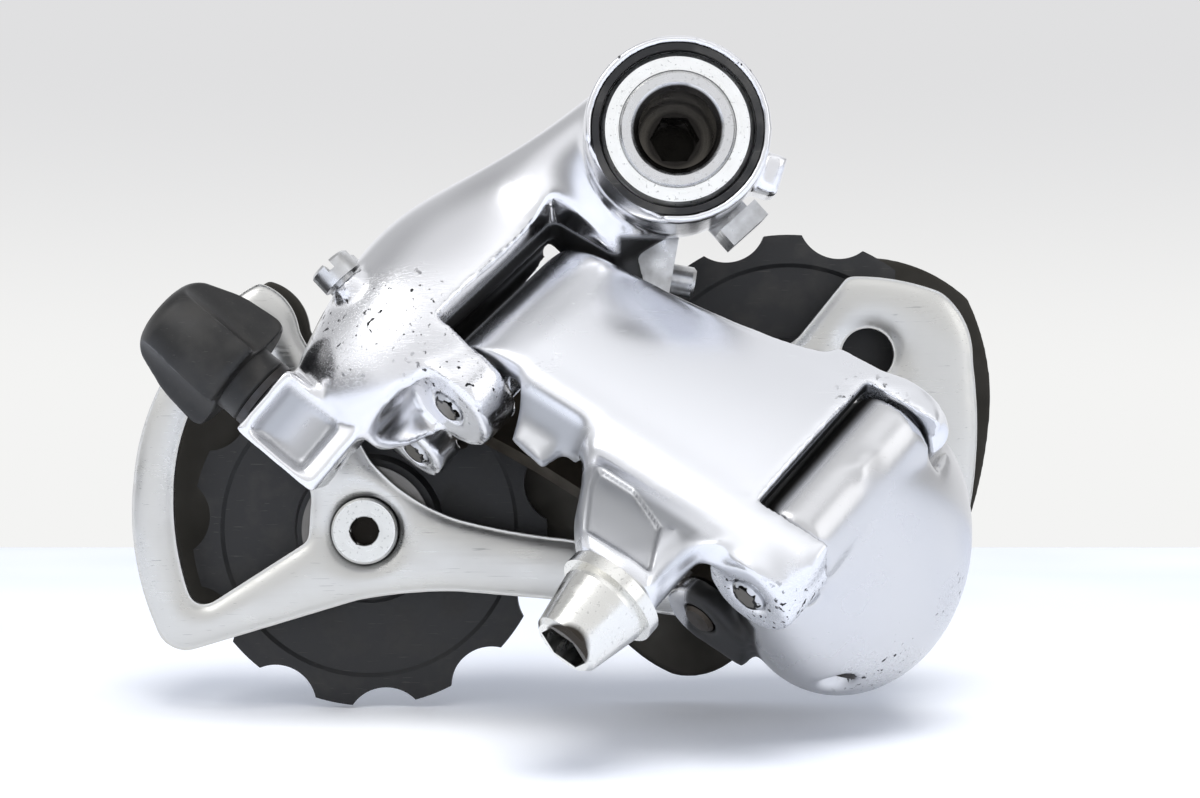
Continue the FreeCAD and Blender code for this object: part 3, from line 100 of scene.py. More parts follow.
def add_node(tree: Tree, kind: str, inputs: dict | list | tuple = (), output: str = "",
             **settings: object) -> Socket:
    """Add a node to a tree, set its properties, fill its inputs and hand on one output.

    Args:
        tree: the material's or the world's node tree.
        kind: the node's type name, without its ShaderNode.
        inputs: what goes into the inputs, in their order or by their name or number. A socket is
            linked, and any other value is set.
        output: the name of the output. Without it, the first one that the settings leave in use.
        **settings: properties of the node, such as operation.

    Returns:
        The output's socket.
    """
    node = tree.nodes.new("ShaderNode" + kind)
    for name, choice in settings.items():
        setattr(node, name, choice)
    for name, source in inputs.items() if isinstance(inputs, dict) else enumerate(inputs):
        if isinstance(source, Socket):
            tree.links.new(source, node.inputs[name])
        else:
            node.inputs[name].default_value = source
    return node.outputs[output] if output else next(out for out in node.outputs if out.enabled)


def joint(name: str) -> dict:
    """Find a joint of the frame by its name."""
    return next(j for j in frame["joints"] if j["name"] == name)


def middle(name: str) -> Vector:
    """The middle of a node's box."""
    return Vector(sum(pair) / 2 for pair in zip(*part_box(name)))


def placed(base: Vector, along_x: Vector, along_z: Vector) -> np.ndarray:
    """Make the 3 x 4 matrix of a frame: its X, Y and Z directions and then its origin, as columns."""
    x, z = np.array(along_x.normalized()), np.array(along_z.normalized())
    return np.column_stack([x, np.cross(z, x), z, np.array(base)])


def carried(points: np.ndarray, place: np.ndarray) -> np.ndarray:
    """Carry points from a frame's own axes to the row frame.

    Args:
        points: an array whose last axis holds x, y and z.
        place: a 3 x 4 matrix from placed().

    Returns:
        An array of the same shape.
    """
    return points @ place[:, :3].T + place[:, 3]


def grid_piece(name: str, points: np.ndarray, wraps: bool = True) -> Piece:
    """Make a mesh object from a grid of points.

    Args:
        name: the object's name.
        points: an array of rows x columns x 3; each row is one ring or strip.
        wraps: whether the last column joins the first one.

    Returns:
        The new object, linked to the scene and shaded smooth.
    """
    rows, columns = points.shape[:2]
    index = np.arange(rows * columns).reshape(rows, columns)
    right = np.roll(index, -1, axis=1) if wraps else index[:, 1:]
    left = index if wraps else index[:, :-1]
    quads = np.stack([left[:-1], right[:-1], right[1:], left[1:]], axis=-1).reshape(-1, 4)
    mesh = bpy.data.meshes.new(name)
    mesh.from_pydata(points.reshape(-1, 3), [], quads)
    mesh.shade_smooth()
    piece = bpy.data.objects.new(name, mesh)
    bpy.context.scene.collection.objects.link(piece)
    return piece


def local(points: np.ndarray, place: np.ndarray) -> np.ndarray:
    """Carry points from the row frame to a frame's own axes, in millimetres."""
    return (points - place[:, 3]) @ place[:, :3] / MM


def smooth_step(values: np.ndarray, low: float, high: float) -> np.ndarray:
    """Rise from 0 at low to 1 at high along the cubic 3 t^2 - 2 t^3."""
    share = np.clip((values - low) / (high - low), 0, 1)
    return share * share * (3 - 2 * share)


def closed_loft(name: str, rings: np.ndarray) -> Piece:
    """Make a closed solid from rings of points, with each end drawn together at its middle."""
    ends = [np.broadcast_to(ring.mean(axis=0), ring.shape) for ring in (rings[0], rings[-1])]
    return face_outwards(grid_piece(name, np.concatenate([ends[0][None], rings, ends[1][None]])))


def mesh_points(mesh: Mesh) -> np.ndarray:
    """Read a mesh's points as an array of n x 3.

    Args:
        mesh: the mesh.

    Returns:
        One row a point, with its x, y and z.
    """
    points = np.empty(len(mesh.vertices) * 3)
    mesh.vertices.foreach_get("co", points)
    return points.reshape(-1, 3)


def relaxed(mesh: Mesh, points: np.ndarray, passes: int, share: np.ndarray) -> np.ndarray:
    """Move each point half way to the middle of its neighbours, passes times.

    An edge's radius grows with the root of passes.

    Args:
        mesh: the mesh, for its edges.
        points: its points, or other values of them, as an array of n rows.
        passes: how often they are moved.
        share: for each point, how much of the move it makes, from 0 to 1.

    Returns:
        The moved points.
    """
    ends = np.empty(len(mesh.edges) * 2, dtype=np.int64)
    mesh.edges.foreach_get("vertices", ends)
    first, second = ends.reshape(-1, 2).T
    total = len(points)
    count = np.bincount(first, minlength=total) + np.bincount(second, minlength=total)
    for _ in range(passes):
        near = np.stack([np.bincount(first, points[second, k], total)
                         + np.bincount(second, points[first, k], total)
                         for k in range(points.shape[1])], axis=1)
        points = points + 0.5 * share[:, None] * (near / np.maximum(count, 1)[:, None] - points)
    return points


@dataclass(frozen=True)
class Region:
    """A box in a frame's own axes, in millimetres, with a soft edge."""

    place: np.ndarray
    low: Triple
    high: Triple
    edge: float = 0.8

    def inside(self, points: np.ndarray) -> np.ndarray:
        """Give 1 inside the box and 0 outside it, and between them the product of the soft sides.

        Args:
            points: an array of n x 3, in metres, in the row frame.

        Returns:
            The share for each point, from 0 to 1.
        """
        own = local(points, self.place)
        rise = smooth_step(own - np.array(self.low), -self.edge / 2, self.edge / 2)
        fall = smooth_step(np.array(self.high) - own, -self.edge / 2, self.edge / 2)
        return np.prod(rise * fall, axis=1)


def layered(piece: Piece, layer: str, values: np.ndarray) -> None:
    """Write a value of each point to a named layer of the mesh."""
    piece.data.attributes.new(layer, "FLOAT", "POINT").data.foreach_set("value", values)


def stained(piece: Piece, layer: str, *regions: Region) -> None:
    """Write how deep each point lies in the regions to a named layer of the mesh, from 0 to 1."""
    points = mesh_points(piece.data)
    layered(piece, layer, np.max([region.inside(points) for region in regions], axis=0))


def face_outwards(piece: Piece) -> Piece:
    """Merge a mesh's doubles and turn its faces outwards.

    Args:
        piece: the piece, which is changed.

    Returns:
        The same piece.
    """
    work = bmesh.new()
    work.from_mesh(piece.data)
    bmesh.ops.remove_doubles(work, verts=work.verts, dist=MERGE)
    bmesh.ops.recalc_face_normals(work, faces=work.faces)
    work.to_mesh(piece.data)
    work.free()
    return piece


def applied(piece: Piece) -> None:
    """Bake a piece's modifiers into its mesh.

    Args:
        piece: the piece, which is changed.
    """
    graph = bpy.context.evaluated_depsgraph_get()
    mesh = bpy.data.meshes.new_from_object(piece.evaluated_get(graph))
    piece.modifiers.clear()
    piece.data = mesh


# ---- finishes ----------------------------------------------------------------------------------

@dataclass(frozen=True)
class Scuff:
    """A worn patch: its middle in the row frame and its radius, in millimetres."""

    middle_mm: Triple
    radius_mm: float


@dataclass(frozen=True)
class Band:
    """A ring of another colour on a turned face, between two radii in millimetres."""

    inner_mm: float
    outer_mm: float
    colour: str
    soft_mm: float = 0.25


@dataclass(frozen=True)
class Finish:
    """A surface finish: one material, made once and shared by name."""

    name: str
    colour: str
    roughness: float
    metallic: float = 0.0

    def material(self) -> bpy.types.Material:
        """Make the material, or find it where it is already made.

        Returns:
            The material.
        """
        found = bpy.data.materials.get(self.name)
        if found:
            return found
        made = bpy.data.materials.new(self.name)
        made.use_nodes = True
        tree = made.node_tree
        shader = tree.nodes["Principled BSDF"]
        shader.inputs["Base Color"].default_value = linear(self.colour)
        shader.inputs["Roughness"].default_value = self.roughness
        shader.inputs["Metallic"].default_value = self.metallic
        for name, source in self.detail(tree, add_node(tree, "TexCoord", output="Object")).items():
            tree.links.new(source, shader.inputs[name])
        return made

    def detail(self, tree: Tree, place: Socket) -> dict[str, Socket]:
        """Give the shader's inputs that the finish's own pattern drives. Each kind has its own.

        Args:
            tree: the material's nodes.
            place: the coordinates that the pattern lies on.

        Returns:
            The shader's inputs that the pattern drives, by their names.
        """
        return {}

    def hairlines(self, tree: Tree, place: Socket, length_mm: float, width_mm: float, turn: Triple,
                  edge: float) -> Socket:
        """Thin straight marks: noise drawn out along one direction, kept only where it is high.

        Args:
            tree: the material's nodes.
            place: the coordinates that the marks lie on.
            length_mm: about how long a mark is.
            width_mm: about how wide it is.
            turn: how the marks' direction is turned, in degrees about X, Y and Z.
            edge: the noise value above which a mark shows; higher means fewer marks.

        Returns:
            A value of 1 in a mark and 0 beside it.
        """
        laid = add_node(tree, "Mapping", {
            "Vector": place, "Rotation": [math.radians(a) for a in turn],
            "Scale": (1 / (length_mm * MM), 1 / (width_mm * MM), 1 / (width_mm * MM))})
        streaks = add_node(tree, "TexNoise", {"Vector": laid, "Scale": 1.0, "Detail": 2.0})
        return add_node(tree, "MapRange", [streaks, edge, edge + 0.03])

    def near(self, tree: Tree, place: Socket, scuff: Scuff) -> Socket:
        """A value that falls from 1 in the middle of a worn patch to 0 at its radius.

        Args:
            tree: the material's nodes.
            place: the coordinates that the pattern lies on.
            scuff: the worn patch.

        Returns:
            The value's socket.
        """
        at = [c * MM for c in scuff.middle_mm]
        away = add_node(tree, "VectorMath", [place, at], operation="DISTANCE")
        radius = scuff.radius_mm * MM
        return add_node(tree, "MapRange", [away, radius * 0.35, radius, 1.0, 0.0])

    def from_axis(self, tree: Tree, place: Socket, middle_mm: Triple, axis: Triple) -> Socket:
        """The distance from an axis, in metres: the length of what is left beside it.

        Args:
            tree: the material's nodes.
            place: the coordinates that the pattern lies on.
            middle_mm: a point of the axis, in millimetres.
            axis: the axis's direction.

        Returns:
            The distance's socket.
        """
        turn = Vector(axis).to_track_quat("Z", "Y").inverted()
        laid = add_node(tree, "Mapping", {"Vector": place, "Rotation": turn.to_euler(),
                                          "Location": -(turn @ (Vector(middle_mm) * MM))})
        flat = add_node(tree, "VectorMath", [laid, (1, 1, 0)], operation="MULTIPLY")
        return add_node(tree, "VectorMath", [flat], operation="LENGTH")

    def banded(self, tree: Tree, shade: object, away: Socket, band: Band) -> Socket:
        """Lay a ring of another colour over a shade, between two distances from an axis.

        Args:
            tree: the material's nodes.
            shade: the colour under the ring.
            away: the distance from the axis, in metres.
            band: the ring.

        Returns:
            The colour's socket.
        """
        soft, inner, outer = band.soft_mm * MM, band.inner_mm * MM, band.outer_mm * MM
        inside = add_node(tree, "MapRange", [away, outer - soft, outer, 1.0, 0.0])
        if inner:
            beyond = add_node(tree, "MapRange", [away, inner, inner + soft])
            inside = add_node(tree, "Math", [inside, beyond], operation="MULTIPLY")
        return add_node(tree, "Mix", {0: inside, 6: shade, 7: linear(band.colour)}, data_type="RGBA")


@dataclass(frozen=True)
class PolishedAluminium(Finish):
    """Forged aluminium alloy, buffed to a mirror and then used.

    It gives clear reflections with a cloudy haze from cleaning, long hairlines, and worn patches
    where falls and the frame have left bright scratches and small dark nicks. Its hollows, found
    by the mesh's pointiness, are darkened as painted shade. The mesh layer "cast" marks what the
    polishing wheel didn't reach, and a second mesh layer the black gaps between parts: partly
    oily grease and partly painted shade.
    """

    metallic: float = 1.0
    haze_mm: float = 9.0
    nick_mm: float = 0.75
    nick_share: float = 0.60
    scuffs: tuple[Scuff, ...] = ()
    nick_colour: str = "#3A3A3B"
    painted_hollow_shade_colour: str = "#55534F"
    cast_colour: str = "#A9AAAC"
    grease_and_shade_colour: str = "#0E0D0C"

    def worn(self, tree: Tree, place: Socket) -> Socket | float:
        """The share of wear, from 0 to 1: the greatest that a worn patch gives.

        Args:
            tree: the material's nodes.
            place: the coordinates that the pattern lies on.

        Returns:
            The share's socket, or 0 without a worn patch.
        """
        share = 0.0
        for scuff in self.scuffs:
            patch = self.near(tree, place, scuff)
            share = add_node(tree, "Math", [share, patch], operation="MAXIMUM")
        return share

    def detail(self, tree: Tree, place: Socket) -> dict[str, Socket]:
        """Haze, hairlines, worn patches, painted shade in the hollows, and grease with painted shade in
        the gaps.

        Args:
            tree: the material's nodes.
            place: the coordinates that the pattern lies on.

        Returns:
            The shader's inputs that the pattern drives, by their names.
        """
        haze = add_node(tree, "TexNoise", {"Vector": place, "Scale": 1 / (self.haze_mm * MM),
                                           "Detail": 4.0})
        lines = add_node(tree, "Math", [
            self.hairlines(tree, place, 9.0, 0.16, (20, 34, 10), 0.72),
            self.hairlines(tree, place, 6.0, 0.14, (-15, 118, 5), 0.73)], operation="MAXIMUM")
        lines = add_node(tree, "Math", [lines, 0.35], operation="MULTIPLY")
        worn = self.worn(tree, place)
        dense = add_node(tree, "Math", [
            self.hairlines(tree, place, 2.6, 0.2, (0, 52, 0), 0.58),
            self.hairlines(tree, place, 2.0, 0.22, (0, -28, 20), 0.6)], operation="MAXIMUM")
        scratches = add_node(tree, "Math", [worn, dense], operation="MULTIPLY")
        pits = add_node(tree, "TexNoise", {"Vector": place, "Scale": 1 / (self.nick_mm * MM),
                                           "Detail": 4.0})
        specks = add_node(tree, "MapRange", [pits, self.nick_share, self.nick_share + 0.04])
        nicks = add_node(tree, "Math", [add_node(tree, "MapRange", [worn, 0.1, 0.7]), specks],
                         operation="MULTIPLY")
        marks = add_node(tree, "Math", [
            add_node(tree, "Math", [lines, scratches], operation="MAXIMUM"), nicks],
            operation="MAXIMUM")
        # Pointiness darkens the hollows: painted shade.
        hollow = add_node(tree, "NewGeometry", output="Pointiness")
        painted_hollow_shade = add_node(tree, "Math", [add_node(tree, "MapRange", [hollow, 0.47, 0.40]), 0.6],
                         operation="MULTIPLY")
        cast = add_node(tree, "Attribute", output="Fac", attribute_name="cast")
        # This mesh layer is partly grease and partly painted shade in the gaps between parts.
        grease_and_shade = add_node(tree, "Attribute", output="Fac", attribute_name="grease_and_shade")
        shade = linear(self.colour)
        for share, colour in ((nicks, self.nick_colour), (painted_hollow_shade, self.painted_hollow_shade_colour),
                              (cast, self.cast_colour), (grease_and_shade, self.grease_and_shade_colour)):
            shade = add_node(tree, "Mix", {0: share, 6: shade, 7: linear(colour)}, data_type="RGBA")
        rough = add_node(tree, "MapRange", [haze, 0.35, 0.68, self.roughness * 0.85,
                                            self.roughness * 1.25])
        for share, more in ((nicks, 0.4), (marks, 0.12), (cast, 0.16)):
            rougher = add_node(tree, "Math", [share, more], operation="MULTIPLY")
            rough = add_node(tree, "Math", [rough, rougher], operation="ADD")
        oily = add_node(tree, "Math", [grease_and_shade, 0.5], operation="MULTIPLY")
        relief = add_node(tree, "Math", [1.0, marks], operation="SUBTRACT")
        return {"Base Color": shade,
                "Metallic": add_node(tree, "MapRange", [grease_and_shade, 0.0, 1.0, 1.0, 0.0]),
                "Roughness": add_node(tree, "Math", [rough, oily], operation="MAXIMUM"),
                "Normal": add_node(tree, "Bump", {"Height": relief, "Distance": 0.02 * MM,
                                                  "Strength": 0.5})}


@dataclass(frozen=True)
class BrushedPlate(Finish):
    """Pressed aluminium plate, brushed along its length and clear anodised.

    It gives soft, slightly streaked reflections and a few deeper marks from the chain. A mesh layer
    darkens a ring round a bolt's head: a painted shadow.
    """

    metallic: float = 1.0
    streak_mm: float = 14.0
    streak_width_mm: float = 0.18
    turn: Triple = (0, 18, 0)
    mark_colour: str = "#8A8A8A"
    grease_and_shade_colour: str = "#23221F"

    def detail(self, tree: Tree, place: Socket) -> dict[str, Socket]:
        """Brush lines, cloudy patches, chain marks and the painted shadow round a bolt.

        Args:
            tree: the material's nodes.
            place: the coordinates that the pattern lies on.

        Returns:
            The shader's inputs that the pattern drives, by their names.
        """
        across = 1 / (self.streak_width_mm * MM)
        laid = add_node(tree, "Mapping", {
            "Vector": place, "Rotation": [math.radians(a) for a in self.turn],
            "Scale": (1 / (self.streak_mm * MM), across, across)})
        brush = add_node(tree, "TexNoise", {"Vector": laid, "Scale": 1.0, "Detail": 3.0})
        cloud = add_node(tree, "TexNoise", {"Vector": place, "Scale": 1 / (6.0 * MM), "Detail": 3.0})
        rough = add_node(tree, "Math", [
            add_node(tree, "MapRange", [brush, 0.3, 0.7, self.roughness * 0.8,
                                        self.roughness * 1.25]),
            add_node(tree, "MapRange", [cloud, 0.4, 0.7, 0.0, 0.1])], operation="ADD")
        marks = add_node(tree, "Math", [self.hairlines(tree, place, 7.0, 0.2, (0, 65, 0), 0.69), 0.5],
                         operation="MULTIPLY")
        # On the outer plate this layer holds a painted shadow round the tension bolt's head.
        grease_and_shade = add_node(tree, "Attribute", output="Fac", attribute_name="grease_and_shade")
        shade = linear(self.colour)
        for share, colour in ((marks, self.mark_colour), (grease_and_shade, self.grease_and_shade_colour)):
            shade = add_node(tree, "Mix", {0: share, 6: shade, 7: linear(colour)}, data_type="RGBA")
        return {"Base Color": shade, "Roughness": rough,
                "Normal": add_node(tree, "Bump", {"Height": brush, "Distance": 0.008 * MM,
                                                  "Strength": 0.5})}


@dataclass(frozen=True)
class TurnedSteel(Finish):
    """Stainless or bearing steel turned on a lathe.

    It gives rings round its own axis, with small specks of wear on the face. Its bands darken rings
    of the face as painted shade, where it sinks into a socket, a bore or a gap.
    """

    metallic: float = 1.0
    middle_mm: Triple = (0, 0, 0)
    axis: Triple = (0, 1, 0)
    ring_mm: float = 0.3
    speck: float = 0.3
    speck_colour: str = "#6E6C69"
    bands: tuple[Band, ...] = ()

    def detail(self, tree: Tree, place: Socket) -> dict[str, Socket]:
        """Lathe rings from the distance to the axis, specks, and bands of painted shade.

        Args:
            tree: the material's nodes.
            place: the coordinates that the pattern lies on.

        Returns:
            The shader's inputs that the pattern drives, by their names.
        """
        away = self.from_axis(tree, place, self.middle_mm, self.axis)
        rings = add_node(tree, "TexNoise", {"W": away, "Scale": 1 / (self.ring_mm * MM),
                                            "Detail": 2.0}, noise_dimensions="1D")
        cloud = add_node(tree, "TexNoise", {"Vector": place, "Scale": 1 / (1.6 * MM), "Detail": 4.0})
        rough = add_node(tree, "Math", [
            add_node(tree, "MapRange", [rings, 0.3, 0.7, self.roughness * 0.8,
                                        self.roughness * 1.2]),
            add_node(tree, "MapRange", [cloud, 0.45, 0.7, 0.0, 0.12])], operation="ADD")
        wear = add_node(tree, "TexNoise", {"Vector": place, "Scale": 1 / (0.4 * MM), "Detail": 3.0})
        specks = add_node(tree, "Math", [add_node(tree, "MapRange", [wear, 0.62, 0.66]), self.speck],
                          operation="MULTIPLY")
        shade = add_node(tree, "Mix", {0: specks, 6: linear(self.colour),
                                       7: linear(self.speck_colour)}, data_type="RGBA")
        for band in self.bands:
            shade = self.banded(tree, shade, away, band)
        return {"Base Color": shade, "Roughness": rough,
                "Normal": add_node(tree, "Bump", {"Height": rings, "Distance": 0.01 * MM,
                                                  "Strength": 0.45})}


@dataclass(frozen=True)
class DrawnSteel(Finish):
    """Drawn or oiled steel, as on pins and springs: dark, with a thin uneven film of old oil."""

    metallic: float = 1.0
    film_colour: str = "#3A342C"
    film_mm: float = 1.8

    def detail(self, tree: Tree, place: Socket) -> dict[str, Socket]:
        """Oil film in patches and fine pitting.

        Args:
            tree: the material's nodes.
            place: the coordinates that the pattern lies on.

        Returns:
            The shader's inputs that the pattern drives, by their names.
        """
        cloud = add_node(tree, "TexNoise", {"Vector": place, "Scale": 1 / (self.film_mm * MM),
                                            "Detail": 3.0})
        film = add_node(tree, "MapRange", [cloud, 0.3, 0.75])
        cover = add_node(tree, "Math", [film, 0.6], operation="MULTIPLY")
        pits = add_node(tree, "TexNoise", {"Vector": place, "Scale": 1 / (0.25 * MM), "Detail": 2.0})
        return {"Base Color": add_node(tree, "Mix", {0: cover, 6: linear(self.colour),
                                                     7: linear(self.film_colour)}, data_type="RGBA"),
                "Roughness": add_node(tree, "MapRange", [film, 0.0, 1.0, self.roughness,
                                                         self.roughness + 0.2]),
                "Normal": add_node(tree, "Bump", {"Height": pits, "Distance": 0.02 * MM,
                                                  "Strength": 0.4})}


@dataclass(frozen=True)
class StakedPin(Finish):
    """The end of a steel pin with the aluminium round it staked over its edge.

    It gives a small grey face in an uneven black ring, with smeared bright metal outside it.
    """

    metallic: float = 1.0
    middle_mm: Triple = (0, 0, 0)
    axis: Triple = (0, 0, 1)
    ring: Band = Band(1.25, 1.75, "#0B0A09", 0.12)
    smear_colour: str = "#C6C7C9"
    waver_mm: float = 0.35

    def detail(self, tree: Tree, place: Socket) -> dict[str, Socket]:
        """Smeared metal, the black ring and pitting. The ring's edge wavers with noise.

        Args:
            tree: the material's nodes.
            place: the coordinates that the pattern lies on.

        Returns:
            The shader's inputs that the pattern drives, by their names.
        """
        cloud = add_node(tree, "TexNoise", {"Vector": place, "Scale": 1 / (0.9 * MM), "Detail": 2.0})
        waver = add_node(tree, "MapRange", [cloud, 0.3, 0.7, -self.waver_mm * MM, self.waver_mm * MM])
        away = self.from_axis(tree, place, self.middle_mm, self.axis)
        away = add_node(tree, "Math", [waver, away], operation="ADD")
        edge = self.ring.outer_mm * MM
        smear = add_node(tree, "MapRange", [away, edge - 0.1 * MM, edge])
        shade = add_node(tree, "Mix", {0: smear, 6: linear(self.colour),
                                       7: linear(self.smear_colour)}, data_type="RGBA")
        pits = add_node(tree, "TexNoise", {"Vector": place, "Scale": 1 / (0.3 * MM), "Detail": 2.0})
        return {"Base Color": self.banded(tree, shade, away, self.ring),
                "Normal": add_node(tree, "Bump", {"Height": pits, "Distance": 0.03 * MM,
                                                  "Strength": 0.5})}


@dataclass(frozen=True)
class MouldedPlastic(Finish):
    """Moulded nylon or ABS: a fine spark-eroded grain, with greyed, polished high spots and dust."""

    grain_mm: float = 0.18
    dust: float = 0.25
    dust_colour: str = "#6B6862"

    def detail(self, tree: Tree, place: Socket) -> dict[str, Socket]:
        """Mould grain, dusty patches and handling marks.

        Args:
            tree: the material's nodes.
            place: the coordinates that the pattern lies on.

        Returns:
            The shader's inputs that the pattern drives, by their names.
        """
        grain = add_node(tree, "TexNoise", {"Vector": place, "Scale": 1 / (self.grain_mm * MM),
                                            "Detail": 2.0})
        cloud = add_node(tree, "TexNoise", {"Vector": place, "Scale": 1 / (4.5 * MM), "Detail": 5.0})
        patch = add_node(tree, "MapRange", [cloud, 0.48, 0.74])
        marks = self.hairlines(tree, place, 3.0, 0.2, (10, 40, 0), 0.68)
        cover = add_node(tree, "Math", [
            add_node(tree, "Math", [patch, marks], operation="MAXIMUM"), self.dust],
            operation="MULTIPLY")
        return {"Base Color": add_node(tree, "Mix", {0: cover, 6: linear(self.colour),
                                                     7: linear(self.dust_colour)}, data_type="RGBA"),
                "Roughness": add_node(tree, "MapRange", [patch, 0.0, 1.0, self.roughness,
                                                         self.roughness + 0.2]),
                "Normal": add_node(tree, "Bump", {"Height": grain, "Distance": 0.02 * MM,
                                                  "Strength": 0.35})}


@dataclass(frozen=True)
class MattePaper(Finish):
    """Matt white board: even, with a barely visible mottle and a little light of its own."""

    mottle: str = "#FFFFFF"
    mottle_mm: float = 120.0
    glow: float = 0.1

    def detail(self, tree: Tree, place: Socket) -> dict[str, Socket]:
        """A broad soft mottle, and the glow that the camera and mirrors see.

        Args:
            tree: the material's nodes.
            place: the coordinates that the pattern lies on.

        Returns:
            The shader's inputs that the pattern drives, by their names.
        """
        cloud = add_node(tree, "TexNoise", {"Vector": place, "Scale": 1 / (self.mottle_mm * MM),
                                            "Detail": 2.0})
        share = add_node(tree, "MapRange", [cloud, 0.35, 0.65])
        seen = add_node(tree, "Math", [add_node(tree, "LightPath", output="Is Camera Ray"),
                                       add_node(tree, "LightPath", output="Is Glossy Ray")],
                        operation="MAXIMUM")
        return {"Base Color": add_node(tree, "Mix", {0: share, 6: linear(self.colour),
                                                     7: linear(self.mottle)}, data_type="RGBA"),
                "Emission Strength": add_node(tree, "Math", [seen, self.glow],
                                              operation="MULTIPLY")}


def shaft_steel(name: str, colour: str, roughness: float, joint_name: str | None = None,
                middle_mm: Triple = (0, 0, 0), axis: Triple = (0, 1, 0),
                **more: object) -> TurnedSteel:
    """Turned steel whose rings go round a joint's axis, or round a given one.

    Args:
        name: the material's name.
        colour: its sRGB hex colour.
        roughness: its middle roughness.
        joint_name: a joint whose place and axis the rings go round.
        middle_mm: a point of the axis, where no joint is named.
        axis: the axis, where no joint is named.
        **more: other fields of TurnedSteel.

    Returns:
        The finish.
    """
    if joint_name:
        found = joint(joint_name)
        middle_mm = tuple(c / MM for c in found["pos_m"])
        axis = tuple(found["axis"])
    return TurnedSteel(name, colour, roughness, middle_mm=middle_mm, axis=axis, **more)


def staked_pin(name: str, joint_name: str) -> StakedPin:
    """A staked pin's finish, round a joint's axis.

    Args:
        name: the material's name.
        joint_name: the joint whose pin it is.

    Returns:
        The finish.
    """
    found = joint(joint_name)
    return StakedPin(name, "#7C7871", 0.34, middle_mm=tuple(c / MM for c in found["pos_m"]),
                     axis=tuple(found["axis"]))


# ---- sub-assemblies ----------------------------------------------------------------------------

def link_face() -> np.ndarray:
    """The outer link's frame: X along the link, Y up its pins and Z out of its face.

    Returns:
        The 3 x 4 matrix from placed().
    """
    start, end = (Vector(joint(name)["pos_m"]) for name in ("shift_swing", "lower_swing"))
    along = end - start
    return placed(start, along, along.cross(Vector(joint("shift_swing")["axis"])))


def row_frame() -> np.ndarray:
    """The row's own frame."""
    return placed(Vector((0, 0, 0)), Vector((1, 0, 0)), Vector((0, 0, 1)))


class Slot(Enum):
    """The record's material slots, one named for each new piece."""

    FORGED = "forged_polish"
    PLATE = "plate_satin"
    DARK_PLATE = "plate_dark"
    KNOB = "black_knob"
    SPRING = "spring_wire"


@dataclass
class SubAssembly:
    """A group of CAD nodes and the pieces that stand for some of them."""

    pieces: list[Piece] = field(default_factory=list)

    def coat(self, finish: Finish, *names: str) -> None:
        """Give CAD nodes a finish.

        Args:
            finish: the finish.
            *names: the CAD nodes.
        """
        for name in names:
            slots = frame["nodes"][name].data.materials
            slots.clear()
            slots.append(finish.material())
            LOG.info("node %s has %s", name, finish.name)

    def keep(self, piece: Piece, finish: Finish, body: str, slot: Slot, *stands_for: str) -> Piece:
        """Finish a new piece: its material, its body and the nodes that it stands for.

        Args:
            piece: the new piece.
            finish: its finish.
            body: the frame's body that it moves with.
            slot: the record's material slot that it falls under; not used.
            *stands_for: the CAD nodes that it replaces.

        Returns:
            The same piece.
        """
        piece.data.materials.clear()
        piece.data.materials.append(finish.material())
        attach(piece, body)
        if stands_for:
            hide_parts(*stands_for)
        self.pieces.append(piece)
        LOG.info("piece %s: %d faces, %s", piece.name, len(piece.data.polygons), finish.name)
        return piece

    def copied(self, node: str, name: str, *added: Piece) -> Piece:
        """Copy a CAD node, with the doubles along its faces' edges merged.

        Args:
            node: the CAD node.
            name: the new piece's name.
            *added: pieces whose meshes join the copy and that are then removed.

        Returns:
            The new piece, shaded smooth.
        """
        work = bmesh.new()
        work.from_mesh(frame["nodes"][node].data)
        bmesh.ops.remove_doubles(work, verts=work.verts, dist=MERGE)
        for extra in added:
            work.from_mesh(extra.data)
            bpy.data.objects.remove(extra)
        mesh = bpy.data.meshes.new(name)
        work.to_mesh(mesh)
        work.free()
        mesh.shade_smooth()
        piece = bpy.data.objects.new(name, mesh)
        bpy.context.scene.collection.objects.link(piece)
        return piece

    def buffed(self, node: str, name: str, voxel_mm: float, passes: int, *added: Piece) -> Piece:
        """Copy a CAD node with its edges buffed round, as a forging's are by the polishing wheel.

        The copy and the pieces added to it are remade as one skin on a cubic grid, which is then
        relaxed.

        Args:
            node: the CAD node.
            name: the new piece's name.
            voxel_mm: the grid's step.
            passes: how often it is relaxed.
            *added: closed pieces that are grown together with the copy and then removed.

        Returns:
            The new piece.
        """
        piece = self.copied(node, name, *added)
        grid = piece.modifiers.new("Grid", "REMESH")
        grid.mode = "VOXEL"
        grid.voxel_size = voxel_mm * MM
        applied(piece)
        points = mesh_points(piece.data)
        self.moved(piece, relaxed(piece.data, points, passes, np.ones(len(points))))
        piece.data.shade_smooth()
        return piece

    def moved(self, piece: Piece, points: np.ndarray) -> None:
        """Give a piece's mesh new points."""
        piece.data.vertices.foreach_set("co", points.ravel())
        piece.data.update()


